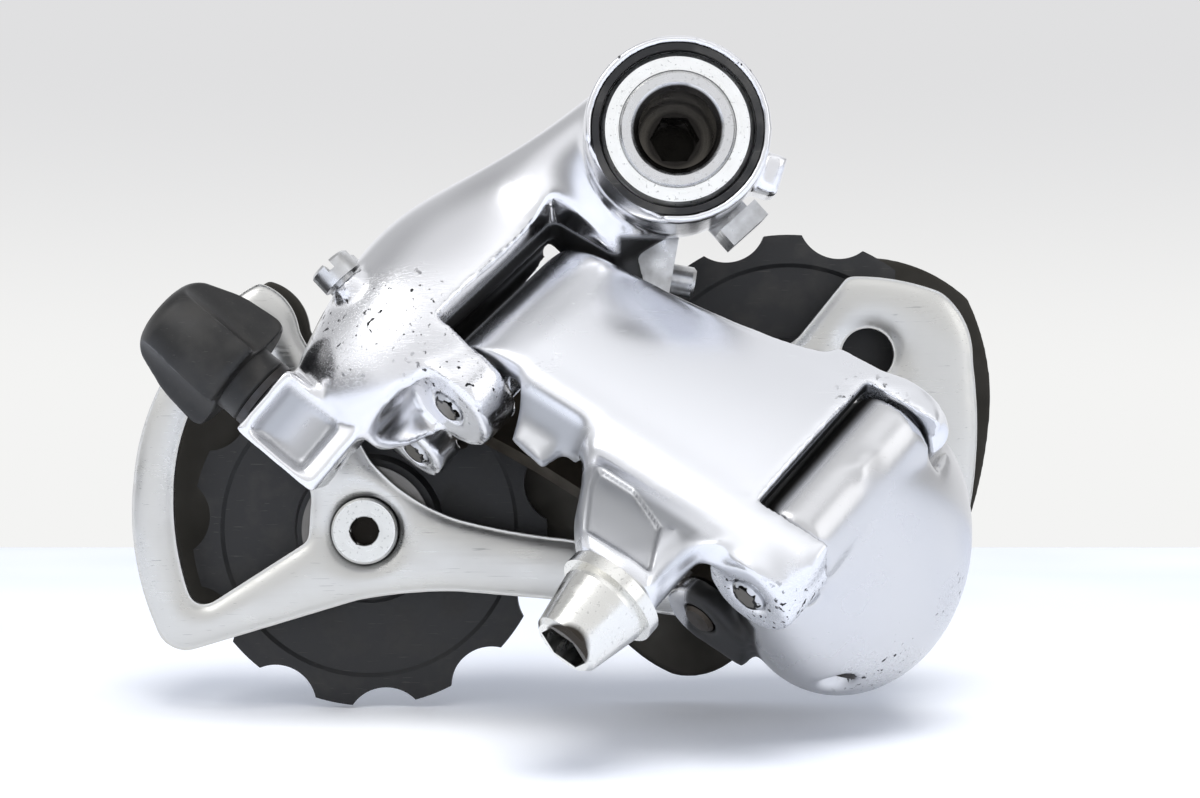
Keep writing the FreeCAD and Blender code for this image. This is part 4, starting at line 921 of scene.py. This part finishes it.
@dataclass
class MountingEnd(SubAssembly):
    """Mounting bolt, bush and knuckle, with the stopper plate and the adjusting screws.

    The holder's panel is given across, along and out in the barrel's own frame, in millimetres.
    """

    knuckle_voxel_mm: float = 0.42
    knuckle_passes: int = 9
    panel_low: Triple = (3.0, -3.4, -8.6)
    panel_high: Triple = (9.0, 3.2, -1.6)
    panel_depth: float = 0.7
    panel_edge: float = 1.4

    def holder_panel(self, piece: Piece) -> None:
        """Sink the soft-edged panel in the outer face of the barrel's holder.

        Args:
            piece: the knuckle's forging.
        """
        turn = joint("barrel_turn")
        place = placed(Vector(turn["pos_m"]), Vector((0, -1, 0)), Vector(turn["axis"]))
        points = mesh_points(piece.data)
        sunk = Region(place, self.panel_low, self.panel_high, self.panel_edge).inside(points)
        points[:, 1] += self.panel_depth * MM * sunk
        self.moved(piece, points)
        stained(piece, "cast", Region(place, self.panel_low, self.panel_high, 1.0))

    def dress(self) -> None:
        """Make the knuckle and finish the mounting parts."""
        knuckle = PolishedAluminium(
            "polished_forged_aluminium_knuckle", "#E4E4E6", 0.19, nick_share=0.63, scuffs=(
                Scuff((-36, -16, -22), 9), Scuff((-24, -20, -27), 8), Scuff((-30, -18, -20), 7),
                Scuff((6, -26, 9), 6), Scuff((-8, -26, 8), 5)))
        forging = self.keep(
            self.buffed("mounting_knuckle", "forged_mounting_knuckle", self.knuckle_voxel_mm,
                        self.knuckle_passes), knuckle, "knuckle", Slot.FORGED, "mounting_knuckle")
        self.holder_panel(forging)
        # Darkened in the link's bay, partly grease and partly painted shade, and under the boss as a
        # painted shadow.
        stained(forging, "grease_and_shade", Region(link_face(), (-7.5, -8.8, -30), (18, 14, 5.6)),
                Region(row_frame(), (-6.5, -24, -22), (9, 14, -10.9)))
        # The bands are painted shade of the deep bore round the bolt's face, with a lighter ring as a
        # painted reflection.
        self.coat(shaft_steel("turned_stainless_mounting_bolt", "#DADADA", 0.2, speck=0.2, bands=(
            Band(0, 5.1, "#2A2826"), Band(3.0, 4.4, "#4B4843", 0.5), Band(0, 2.7, "#141311"))),
            "mounting_bolt")
        self.coat(shaft_steel("ground_bearing_steel_bush", "#F6F6F3", 0.34, speck=0.45, ring_mm=0.2),
                  "mounting_bush")
        self.coat(DrawnSteel("zinc_plated_steel_stopper", "#D6D7D8", 0.24, film_colour="#8F8C86"),
                  "stopper_plate", "angle_screw", "limit_screw_high", "limit_screw_low")
        self.coat(DrawnSteel("oiled_steel_clip", "#6E6A66", 0.32), "retaining_clip")
        self.coat(staked_pin("staked_outer_mount_pin", "shift_swing"), "outer_mount_pin")
        self.coat(staked_pin("staked_inner_mount_pin", "inner_swing"), "inner_mount_pin")
        self.coat(shaft_steel("sintered_bush_steel", "#9C978F", 0.35, "shift_swing"),
                  "outer_mount_bush", "inner_mount_bush")
        self.coat(DrawnSteel("oiled_spring_steel", "#4E4B48", 0.34), "boss_spring")
        self.coat(MouldedPlastic("nitrile_rubber_seal", "#111112", 0.55, dust=0.35), "boss_seal")


@dataclass
class BarrelAdjuster(SubAssembly):
    """The cable's barrel adjuster: threaded barrel, plain collar and three-lobed knob.

    A shoulder is the share of the knob's height that it takes up and how far it falls, in
    millimetres.
    """

    knob_low_mm: float = 3.9
    knob_high_mm: float = 15.8
    skirt_mm: float = 7.75
    belly_mm: float = 7.2
    tip_mm: float = 5.0
    mouth_mm: float = 3.2
    mouth_deep_mm: float = 1.6
    rim_mm: float = 0.3
    low_shoulder: tuple[float, float] = (0.12, 0.8)
    high_shoulder: tuple[float, float] = (0.16, 1.9)
    flute_mm: float = 4.8
    flute_place_mm: float = 9.7
    lobe_edge_mm: float = 0.4
    lobes: int = 3
    neck_mm: float = 4.35
    neck_low_mm: float = 1.2
    neck_high_mm: float = 4.3
    neck_edge_mm: float = 0.3
    neck_waist_mm: float = 0.12

    def place(self) -> np.ndarray:
        """The adjuster's frame, with Z out along its axis."""
        turn = joint("barrel_turn")
        return placed(Vector(turn["pos_m"]), Vector((0, 1, 0)), Vector(turn["axis"]))

    def skin(self, name: str, angle: np.ndarray, radii: np.ndarray, heights: np.ndarray) -> Piece:
        """Make a piece round the axis from its radii, a row of them at each height.

        Args:
            name: the piece's name.
            angle: the angles round the axis, in radians.
            radii: an array of heights x angles, in millimetres.
            heights: the heights along the axis, in millimetres.

        Returns:
            The new piece.
        """
        points = np.stack([radii * np.cos(angle), radii * np.sin(angle),
                           np.broadcast_to(heights[:, None], radii.shape)], axis=-1) * MM
        return face_outwards(grid_piece(name, carried(points, self.place())))

    def knob(self) -> Piece:
        """Make the knob: a round-shouldered barrel with a hollow between each two lobes.

        The radius at a height is a smooth curve from skirt to tip, less a quarter circle's fall at
        each shoulder. A flute is a cylinder beside the knob: seen at angle a from its middle it
        stands at D cos a - root(r^2 - D^2 sin^2 a), and the two radii are blended where they meet,
        so that each lobe has a soft edge.

        Returns:
            The new piece.
        """
        share = np.linspace(0, 1, 72)
        (low, low_fall), (high, high_fall) = self.low_shoulder, self.high_shoulder
        body = np.interp(share, [0, low, 0.5, 0.8, 1], [self.skirt_mm, self.skirt_mm, self.belly_mm,
                                                        self.tip_mm + 0.9, self.tip_mm])
        window = 13
        body = np.convolve(np.pad(body, window // 2, mode="edge"), np.ones(window) / window,
                           mode="valid")
        falls = [fall * (1 - np.sqrt(1 - (1 - np.minimum(climb, 1)) ** 2))
                 for climb, fall in ((share / low, low_fall), ((1 - share) / high, high_fall))]
        radius = (body - falls[0] - falls[1])[:, None]
        angle = np.linspace(0, 2 * math.pi, 180, endpoint=False)
        step = 2 * math.pi / self.lobes
        off = (angle + step / 2) % step - step / 2
        reach = np.maximum(self.flute_mm ** 2 - (self.flute_place_mm * np.sin(off)) ** 2, 0)
        beyond = 99.0
        flute = np.where(reach > 0, self.flute_place_mm * np.cos(off) - np.sqrt(reach), beyond)
        blend = np.clip(0.5 + 0.5 * (flute - radius) / self.lobe_edge_mm, 0, 1)
        ring = (flute * (1 - blend) + radius * blend
                - self.lobe_edge_mm * blend * (1 - blend) * 0.5)
        rows = [(self.neck_mm - 0.1, self.knob_low_mm),
                (self.mouth_mm + self.rim_mm, self.knob_high_mm),
                (self.mouth_mm, self.knob_high_mm - self.rim_mm),
                (self.mouth_mm, self.knob_high_mm - self.mouth_deep_mm)]
        under, *inside = (np.full((1, angle.size), r) for r, _ in rows)
        heights = np.concatenate([
            [self.knob_low_mm], self.knob_low_mm + (self.knob_high_mm - self.knob_low_mm) * share,
            [height for _, height in rows[1:]]])
        return self.skin("moulded_knob", angle,
                         np.vstack([under, np.minimum(ring, radius), *inside]), heights)

    def neck(self) -> Piece:
        """Make the plain collar: a ring with rounded ends and a shallow waist.

        At a share t of its height its radius is lessened by a sine's waist, and by the eighth power
        of 2 t - 1 under a root at its ends.

        Returns:
            The new piece.
        """
        angle = np.linspace(0, 2 * math.pi, 96, endpoint=False)
        share = np.linspace(0, 1, 16)
        ends = np.sqrt(1 - (2 * share - 1) ** 8)
        outside = (self.neck_mm - self.neck_edge_mm + self.neck_edge_mm * ends
                   - self.neck_waist_mm * np.sin(math.pi * share))
        inside = np.full((1, angle.size), self.neck_mm - 0.9)
        radii = np.vstack([inside, np.repeat(outside[:, None], angle.size, axis=1), inside])
        heights = np.concatenate([
            [self.neck_low_mm], self.neck_low_mm + (self.neck_high_mm - self.neck_low_mm) * share,
            [self.neck_high_mm]])
        return self.skin("barrel_collar", angle, radii, heights)

    def dress(self) -> None:
        """Make the knob and the collar, and finish the barrel."""
        plastic = MouldedPlastic("satin_moulded_abs_knob", "#0D0C0B", 0.4, dust=0.12,
                                 dust_colour="#77736B")
        self.keep(self.knob(), plastic, "barrel", Slot.KNOB, "barrel_knob")
        self.keep(self.neck(), plastic, "barrel", Slot.KNOB)
        self.coat(MouldedPlastic("moulded_acetal_barrel", "#1B1B1C", 0.4), "barrel_bolt")
        self.coat(DrawnSteel("blackened_detent_steel", "#4A4A4C", 0.35), "barrel_detent_ring")


@dataclass
class Links(SubAssembly):
    """The two links of the parallelogram, their pins, the return spring and the cable clamp.

    Every place is in the outer link's own frame, in millimetres. An arm row is how far down the
    pins it lies, where its left and right edges are, and how high its front stands.
    """

    link_voxel_mm: float = 0.3
    link_passes: int = 8
    soft_passes: int = 60
    arm_back: float = 2.7
    arm_rows: tuple[tuple[float, float, float, float], ...] = (
        (-10.5, 17.9, 40.0, 4.7), (-12.4, 18.2, 39.6, 5.6), (-14.4, 19.8, 37.6, 6.9),
        (-16.5, 21.6, 36.6, 8.0), (-20.5, 24.1, 36.4, 8.6), (-23.9, 27.4, 37.0, 8.8))
    panel_rows: tuple[Triple, ...] = (
        (-14.2, 22.2, 27.0), (-16.8, 23.4, 32.6), (-21.8, 26.8, 35.2))
    panel_depth: float = 0.8
    panel_edge: float = 0.4
    tab_set_back: float = 2.0
    face_end: float = 38.1
    roll_from: float = 5.0
    roll_height: float = 6.4

    def arm(self) -> Piece:
        """Make the cable arm's front: rings of rounded oblongs down the arm.

        A ring's point at angle t is at (cos t)^(2/5) and (sin t)^(2/5) of its half width and half
        height, with the signs of the cosine and the sine.

        Returns:
            A closed piece that is grown together with the link.
        """
        rows = np.array(self.arm_rows)
        down = np.linspace(rows[0, 0], rows[-1, 0], 40)
        left, right, front = (np.interp(-down, -rows[:, 0], rows[:, k]) for k in (1, 2, 3))
        angle = np.linspace(0, 2 * math.pi, 64, endpoint=False)
        across, out = (np.sign(wave) * np.abs(wave) ** 0.4 for wave in (np.cos(angle), np.sin(angle)))
        x = (left + right)[:, None] / 2 + (right - left)[:, None] / 2 * across
        z = (front + self.arm_back)[:, None] / 2 + (front - self.arm_back)[:, None] / 2 * out
        rings = np.stack([x, np.broadcast_to(down[:, None], x.shape), z], axis=-1) * MM
        return closed_loft("arm_front", carried(rings, link_face()))

    def forged(self, piece: Piece) -> None:
        """Shape the link's skin as the forging die does, and relax its front.

        The face's near end rolls off to the pin's barrel along a parabola. The tab under the link
        stands back, and the arm's panel is sunk. The face and the two fingers' ends are relaxed.

        Args:
            piece: the outer link's copy.
        """
        place = link_face()
        points = mesh_points(piece.data)
        x, y, z = local(points, place).T
        rolled = np.maximum(self.roll_height - (self.roll_from - x) ** 2 / 20, 0)
        z = np.where((z > 0) & (x < self.roll_from), np.minimum(z, rolled), z)
        z -= self.tab_set_back * smooth_step(-y, 9.6, 11) * smooth_step(18.2 - x, 0, 1.5)
        fingers = 0.7 * smooth_step(np.abs(y - 3), 10.2, 11) * smooth_step(x, 32, 36)
        front = smooth_step(z, 1.0, 2.6) * smooth_step(self.face_end - 1.6 - x, 0, 1.5)
        soft = np.maximum(front, fingers)
        points = carried(np.stack([x, y, z], axis=1) * MM, place)
        points = relaxed(piece.data, points, self.soft_passes, soft)
        x, y, z = local(points, place).T
        rows = np.array(self.panel_rows)
        left, right = (np.interp(-y, -rows[:, 0], rows[:, k]) for k in (1, 2))
        sides = np.stack([x - left, right - x, rows[0, 0] - y, y - rows[-1, 0]])
        sunk = np.prod(smooth_step(sides, -self.panel_edge, self.panel_edge), axis=0)
        z -= self.panel_depth * sunk * smooth_step(z, 3.6, 4.4)
        self.moved(piece, carried(np.stack([x, y, z], axis=1) * MM, place))

    def dress(self) -> None:
        """Make the outer link and finish the rest."""
        outer = PolishedAluminium(
            "polished_forged_aluminium_link", "#E2E3E6", 0.24, haze_mm=12.0, scuffs=(
                Scuff((12, -35, -53), 8), Scuff((7, -33, -50), 5), Scuff((-14, -19, -29), 6),
                Scuff((21, -27, -31), 5)))
        link = self.buffed("outer_link", "forged_outer_link", self.link_voxel_mm, self.link_passes,
                           self.arm())
        self.forged(link)
        self.keep(link, outer, "outer_arm", Slot.FORGED, "outer_link")
        face = link_face()
        # Darkened between the fingers and in the bay at the near end: partly grease, partly painted
        # shade.
        stained(link, "grease_and_shade", Region(face, (self.face_end - 1.6, -7.2, -12), (40.4, 13.2, 5.6), 0.6),
                Region(face, (-7, -9.6, -12), (-1.4, 9.8, 2.6), 2.4))
        stained(link, "cast", Region(face, (1, -18, -12), (17.6, -10.2, 8)),
                Region(face, (21, -22, 3), (36, -14, 8.2), 1.6))
        # The inner link's dark colour is partly oily grease and partly painted shade of the gap it lies
        # in.
        self.coat(DrawnSteel("greasy_and_shaded_inner_link", "#453F37", 0.44, film_colour="#0F0E0D",
                             film_mm=5.0), "inner_link")
        self.coat(staked_pin("staked_outer_pulley_pin", "lower_swing"), "outer_pulley_pin")
        self.coat(DrawnSteel("oiled_steel_link_pin", "#4A4540", 0.34), "inner_pulley_pin")
        # The spring turns with the outer link, about the pin that it hooks on.
        self.keep(self.copied("return_spring", "return_spring_coil"),
                  DrawnSteel("oiled_return_spring_steel", "#3A3733", 0.36),
                  "outer_arm", Slot.SPRING, "return_spring")
        self.coat(shaft_steel("sintered_pulley_bush_steel", "#9C978F", 0.35, "lower_swing"),
                  "outer_pulley_bush")
        # The band darkens the clamp bolt's hex socket: painted shade.
        clamp = middle("cable_bolt")
        self.coat(shaft_steel("turned_stainless_clamp", "#E2E1DC", 0.2, speck=0.25,
                              middle_mm=tuple(clamp / MM),
                              axis=tuple((clamp - middle("cable_washer")).normalized()),
                              bands=(Band(0, 2.75, "#3D3934"),)), "cable_bolt", "cable_washer")


@dataclass
class PulleyEnd(SubAssembly):
    """The pulley knuckle with its spring, axle and stop."""

    knuckle_voxel_mm: float = 0.34
    knuckle_passes: int = 26

    def dress(self) -> None:
        """Make the knuckle and finish what it carries."""
        shell = PolishedAluminium(
            "polished_forged_aluminium_shell", "#CBCBCC", 0.25, haze_mm=14.0, nick_share=0.63, scuffs=(
                Scuff((24, -18, -62), 7), Scuff((30, -16, -52), 5)))
        forging = self.keep(
            self.buffed("pulley_knuckle", "forged_pulley_knuckle", self.knuckle_voxel_mm,
                        self.knuckle_passes), shell, "lower_knuckle", Slot.FORGED, "pulley_knuckle")
        # Darkened between the link's fingers and on the inner lug: partly grease, partly painted shade.
        stained(forging, "grease_and_shade", Region(link_face(), (30, -7.4, -14), (40.4, 13.8, 5.0), 1.6),
                Region(link_face(), (32, -30, -26), (41.6, -6.2, -10.4), 0.9))
        self.coat(shaft_steel("turned_steel_axle", "#BDBDBC", 0.28, "cage_swing"), "cage_axle",
                  "cage_stop_pin")
        self.coat(DrawnSteel("blackened_grub_steel", "#3C3C3E", 0.35), "axle_grub_screw")
        self.coat(DrawnSteel("oiled_cage_spring_steel", "#4E4B48", 0.34), "cage_spring")
        self.coat(MouldedPlastic("nitrile_rubber_shield", "#151516", 0.5), "knuckle_shield")


@dataclass
class Cage(SubAssembly):
    """The two cage plates and the bolts that join them.

    The web's outline is a closed row of forward and up places in millimetres.
    """

    plate_voxel_mm: float = 0.27
    plate_passes: int = 16
    inner_passes: int = 6
    pillow_passes: int = 170
    pillow_mm: float = 0.8
    web_thinner: float = 0.9
    shadow_ring_mm: tuple[float, float] = (4.0, 4.75)
    web: tuple[tuple[float, float], ...] = (
        (-34, -44), (-28, -39.5), (-19, -36.8), (-8, -36.4), (1, -38.4), (5, -43), (2, -50),
        (-16, -53), (-32, -50))

    def web_plate(self) -> Piece:
        """Make the inner plate's web between the pulleys: a flat outline across the plate.

        Returns:
            A closed piece that is grown together with the plate.
        """
        low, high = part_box("cage_inner_plate")
        corners = np.array(self.web) * MM
        steps = np.arange(0, len(corners), 0.1)
        ring = np.stack([np.interp(steps, np.arange(len(corners) + 1), np.append(c, c[0]))
                         for c in corners.T], axis=1)
        depth, half = (low[1] + high[1]) / 2, (high[1] - low[1]) / 2 * self.web_thinner
        rings = np.stack([np.column_stack([ring[:, 0], np.full(len(ring), depth + side * half),
                                           ring[:, 1]]) for side in (-1, 1)])
        return closed_loft("plate_web", rings)

    def pillowed(self, piece: Piece) -> None:
        """Let the outer face fall away towards its edges, as a coined plate's does.

        A field of 1 on the face is held at 0 on the side walls and relaxed. The face stands back
        by the pillow's depth times one less the field.

        Args:
            piece: the outer plate's copy.
        """
        mesh = piece.data
        points = mesh_points(mesh)
        normals = np.empty(points.size)
        mesh.vertices.foreach_get("normal", normals)
        facing = -normals.reshape(-1, 3)[:, 1]
        on_face = (facing > 0.75).astype(float)
        field_of_face = relaxed(mesh, on_face[:, None], self.pillow_passes, on_face)[:, 0]
        points[:, 1] += self.pillow_mm * MM * (1 - field_of_face) * smooth_step(facing, 0.2, 0.75)
        self.moved(piece, relaxed(mesh, points, 6, np.ones(len(points))))

    def dress(self) -> None:
        """Make both plates and finish the cage."""
        outer = BrushedPlate("brushed_anodised_aluminium_plate", "#CBCAC6", 0.3)
        plate = self.keep(self.buffed("cage_outer_plate", "pressed_outer_plate", self.plate_voxel_mm,
                                      self.plate_passes), outer, "cage", Slot.PLATE, "cage_outer_plate")
        self.pillowed(plate)
        # The dark ring round the tension bolt's head is a painted shadow of the head.
        bolt = np.array(joint("tension_spin")["pos_m"])
        away = np.linalg.norm((mesh_points(plate.data) - bolt)[:, (0, 2)], axis=1) / MM
        inside, outside = self.shadow_ring_mm
        layered(plate, "grease_and_shade", 0.7 * smooth_step(away, inside, inside + 0.25)
                * smooth_step(outside - away, 0, 0.3))
        inner = DrawnSteel("grey_anodised_inner_plate", "#403E3A", 0.36, film_colour="#24221E",
                           film_mm=9.0)
        self.keep(self.buffed("cage_inner_plate", "pressed_inner_plate", self.plate_voxel_mm,
                              self.inner_passes, self.web_plate()),
                  inner, "cage", Slot.DARK_PLATE, "cage_inner_plate")
        self.coat(shaft_steel("turned_stainless_guide_bolt", "#B4B3B0", 0.25, "guide_spin"),
                  "guide_pulley_bolt", "guide_spacer")
        # The bands are painted shade: in the hex socket and in the gap round the head's rim.
        self.coat(shaft_steel("turned_stainless_tension_bolt", "#D9D9D5", 0.3, "tension_spin", bands=(
            Band(0, 1.95, "#1E1C19", 0.15), Band(4.1, 4.6, "#6A6B6B", 0.12))), "tension_pulley_bolt")


@dataclass
class Pulleys(SubAssembly):
    """The guide and tension pulleys with their bearings."""

    def dress(self) -> None:
        """Finish the pulleys and their bearings."""
        self.coat(MouldedPlastic("moulded_glass_filled_nylon", "#131314", 0.5, dust=0.3,
                                 dust_colour="#54514C"),
                  "guide_pulley", "tension_pulley")
        self.coat(MouldedPlastic("sintered_ceramic_sleeve", "#D8D4CA", 0.3, dust=0.1),
                  "guide_float_sleeve")
        self.coat(shaft_steel("stamped_steel_guide_cap", "#6E6C69", 0.35, "guide_spin"),
                  "guide_dust_caps")
        self.coat(shaft_steel("stamped_steel_tension_cap", "#6E6C69", 0.35, "tension_spin"),
                  "tension_dust_caps")
        self.coat(shaft_steel("ground_bearing_race_steel", "#B0B0AE", 0.18, "tension_spin"),
                  "bearing_inner_race", "bearing_outer_race", "bearing_balls")


# ---- studio ------------------------------------------------------------------------------------

@dataclass(frozen=True)
class SoftBox:
    """A square soft light: where it hangs, its width, its power in watts, and if metal shows it."""

    name: str
    at: Triple
    width: float
    watts: float
    mirrored: bool = True


@dataclass(frozen=True)
class Flag:
    """A dark cloth in the room: a patch round a direction, or a strip across it.

    A patch darkens the directions whose cosine with its way is over inner, fading out at outer. A
    strip darkens those whose sine from the plane square to across is under half, on its way's side.
    """

    way: Triple
    depth: float
    outer: float
    inner: float
    across: Triple | None = None
    half: float = 0.06


@dataclass
class Studio:
    """Camera, white table, soft lights and the room, with its pale wall, that metal reflects.

    front_rise, lens_shade and wall_rise each hold a start and an end of the cosine between a
    direction of the room and straight forward or up, and the two values that are eased between.
    """

    eye: Triple = (-0.0086, -0.240, -0.0299)
    lens_mm: float = 58.2
    table_end: float = 0.278
    wall_low: str = "#F4F4F3"
    wall_high: str = "#E0E0E1"
    table_gap: float = 0.0004
    room_share: float = 0.6
    shade_colour: str = "#DDE8FF"
    glow_colour: str = "#FBFCFF"
    lights: tuple[SoftBox, ...] = (
        SoftBox("front_softbox", (0.10, -0.50, 0.72), 0.46, 7.0, mirrored=False),
        SoftBox("key_softbox", (-0.50, -0.42, 0.62), 0.40, 1.2),
        SoftBox("fill_softbox", (0.60, -0.45, 0.20), 0.45, 0.3),
    )
    front_rise: tuple[float, ...] = (0.10, 0.44, 1.02, 1.38)
    lens_shade: tuple[float, ...] = (0.46, 0.96, 1.0, 0.70)
    wall_rise: tuple[float, ...] = (0.0, 0.17, 0.0, 1.0)
    flags: tuple[Flag, ...] = (
        Flag((-0.86, -0.42, -0.28), 0.72, 0.80, 0.95),
        Flag((0.78, -0.45, -0.42), 0.50, 0.82, 0.96),
        Flag((0.60, -0.76, 0.22), 0.62, 0.72, 0.93, (0.78, 0.62, 0.0), 0.07),
        Flag((-0.34, -0.02, 0.94), 0.14, 0.84, 0.99),
        Flag((-0.62, 0.35, 0.70), 0.40, 0.80, 0.97),
        Flag((0.90, 0.10, 0.42), 0.40, 0.78, 0.97),
    )

    def camera(self) -> None:
        """Set the camera level, looking inboard along Y."""
        lens = bpy.data.cameras.new("camera")
        lens.lens = self.lens_mm
        lens.sensor_width = 36.0
        lens.clip_start = 0.01
        eye = bpy.data.objects.new("camera", lens)
        eye.location = self.eye
        eye.rotation_euler = (math.pi / 2, 0, 0)
        bpy.context.scene.collection.objects.link(eye)
        bpy.context.scene.camera = eye

    def table(self) -> None:
        """Lay the table just under the object. Its far edge makes the line behind the object."""
        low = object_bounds()[0][2] - self.table_gap
        near, far, side = -1.2, self.table_end, 1.6
        table = np.array([[[x, y, low] for x in (-side, side)] for y in (near, far)])
        board = grid_piece("white_table", table, wraps=False)
        board.data.materials.append(MattePaper("matt_white_table_board", "#EEF1F8", 0.7).material())
        board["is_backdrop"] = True

    def lamps(self) -> None:
        """Hang the soft boxes, each turned to the middle of the object."""
        aim = sum((Vector(corner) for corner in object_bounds()), Vector()) / 2
        for box in self.lights:
            lamp = bpy.data.lights.new(box.name, "AREA")
            lamp.size = box.width
            lamp.energy = box.watts
            hung = bpy.data.objects.new(box.name, lamp)
            hung.location = box.at
            hung.visible_glossy = box.mirrored
            hung.rotation_euler = (aim - Vector(box.at)).to_track_quat("-Z", "Y").to_euler()
            bpy.context.scene.collection.objects.link(hung)

    def shadow(self, tree: Tree, way: Socket, flag: Flag) -> Socket:
        """The share of light that a dark cloth leaves in each direction of the room.

        Args:
            tree: the world's nodes.
            way: the direction of the room.
            flag: the dark cloth.

        Returns:
            The share's socket, from 0 to 1.
        """
        facing = add_node(tree, "VectorMath", [way, Vector(flag.way).normalized()],
                          operation="DOT_PRODUCT")
        shade = add_node(tree, "MapRange", [facing, flag.outer, flag.inner, 0.0, flag.depth],
                         interpolation_type="SMOOTHSTEP")
        if flag.across:
            off = add_node(tree, "VectorMath", [way, Vector(flag.across).normalized()],
                           operation="DOT_PRODUCT")
            off = add_node(tree, "Math", [off], operation="ABSOLUTE")
            strip = add_node(tree, "MapRange", [off, flag.half * 0.4, flag.half, 1.0, 0.0],
                             interpolation_type="SMOOTHSTEP")
            shade = add_node(tree, "Math", [shade, strip], operation="MULTIPLY")
        return add_node(tree, "Math", [1.0, shade], operation="SUBTRACT")

    def room(self) -> None:
        """Light the room: white above and in front, with the dark cloths that the metal shows.

        Behind the object stands the pale wall, which grows darker upwards.
        """
        world = bpy.data.worlds.new("studio_room")
        bpy.context.scene.world = world
        world.use_nodes = True
        tree = world.node_tree
        way = add_node(tree, "TexCoord", output="Generated")
        forward = add_node(tree, "VectorMath", [way, (0, -1, 0)], operation="DOT_PRODUCT")
        level = add_node(tree, "MapRange", [forward, *self.front_rise],
                         interpolation_type="SMOOTHSTEP")
        ahead = add_node(tree, "MapRange", [forward, *self.lens_shade],
                         interpolation_type="SMOOTHSTEP")
        for share in (ahead, *(self.shadow(tree, way, flag) for flag in self.flags)):
            level = add_node(tree, "Math", [level, share], operation="MULTIPLY")
        mirrored = add_node(tree, "LightPath", output="Is Glossy Ray")
        share = add_node(tree, "MapRange", [mirrored, 0.0, 1.0, self.room_share, 1.0])
        level = add_node(tree, "Math", [level, share], operation="MULTIPLY")
        tint = add_node(tree, "Mix", {0: mirrored, 6: linear(self.shade_colour),
                                      7: linear(self.glow_colour)}, data_type="RGBA")
        upward = add_node(tree, "VectorMath", [way, (0, 0, 1)], operation="DOT_PRODUCT")
        height = add_node(tree, "MapRange", [upward, *self.wall_rise],
                          interpolation_type="SMOOTHSTEP")
        wall = add_node(tree, "Mix", {0: height, 6: linear(self.wall_low),
                                      7: linear(self.wall_high)}, data_type="RGBA")
        seen = add_node(tree, "Math", [add_node(tree, "LightPath", output="Is Camera Ray"),
                                       add_node(tree, "LightPath", output="Is Transmission Ray")],
                        operation="MAXIMUM")
        glow = tree.nodes["Background"]
        tree.links.new(add_node(tree, "Mix", {0: seen, 6: tint, 7: wall}, data_type="RGBA"),
                       glow.inputs["Color"])
        tree.links.new(add_node(tree, "Mix", {0: seen, 2: level, 3: 1.0}), glow.inputs["Strength"])

    def build(self) -> None:
        """Set up the whole studio."""
        self.camera()
        self.table()
        self.lamps()
        self.room()
        bpy.context.scene.view_settings.view_transform = "Standard"


def main() -> None:
    """Build and dress every sub-assembly, then set up the studio."""
    logging.basicConfig(level=logging.INFO, format="%(message)s")
    for assembly in (MountingEnd(), BarrelAdjuster(), Links(), PulleyEnd(), Cage(), Pulleys()):
        assembly.dress()
        LOG.info("%s: %d new pieces", type(assembly).__name__, len(assembly.pieces))
    Studio().build()


if __name__ == "__main__":
    main()
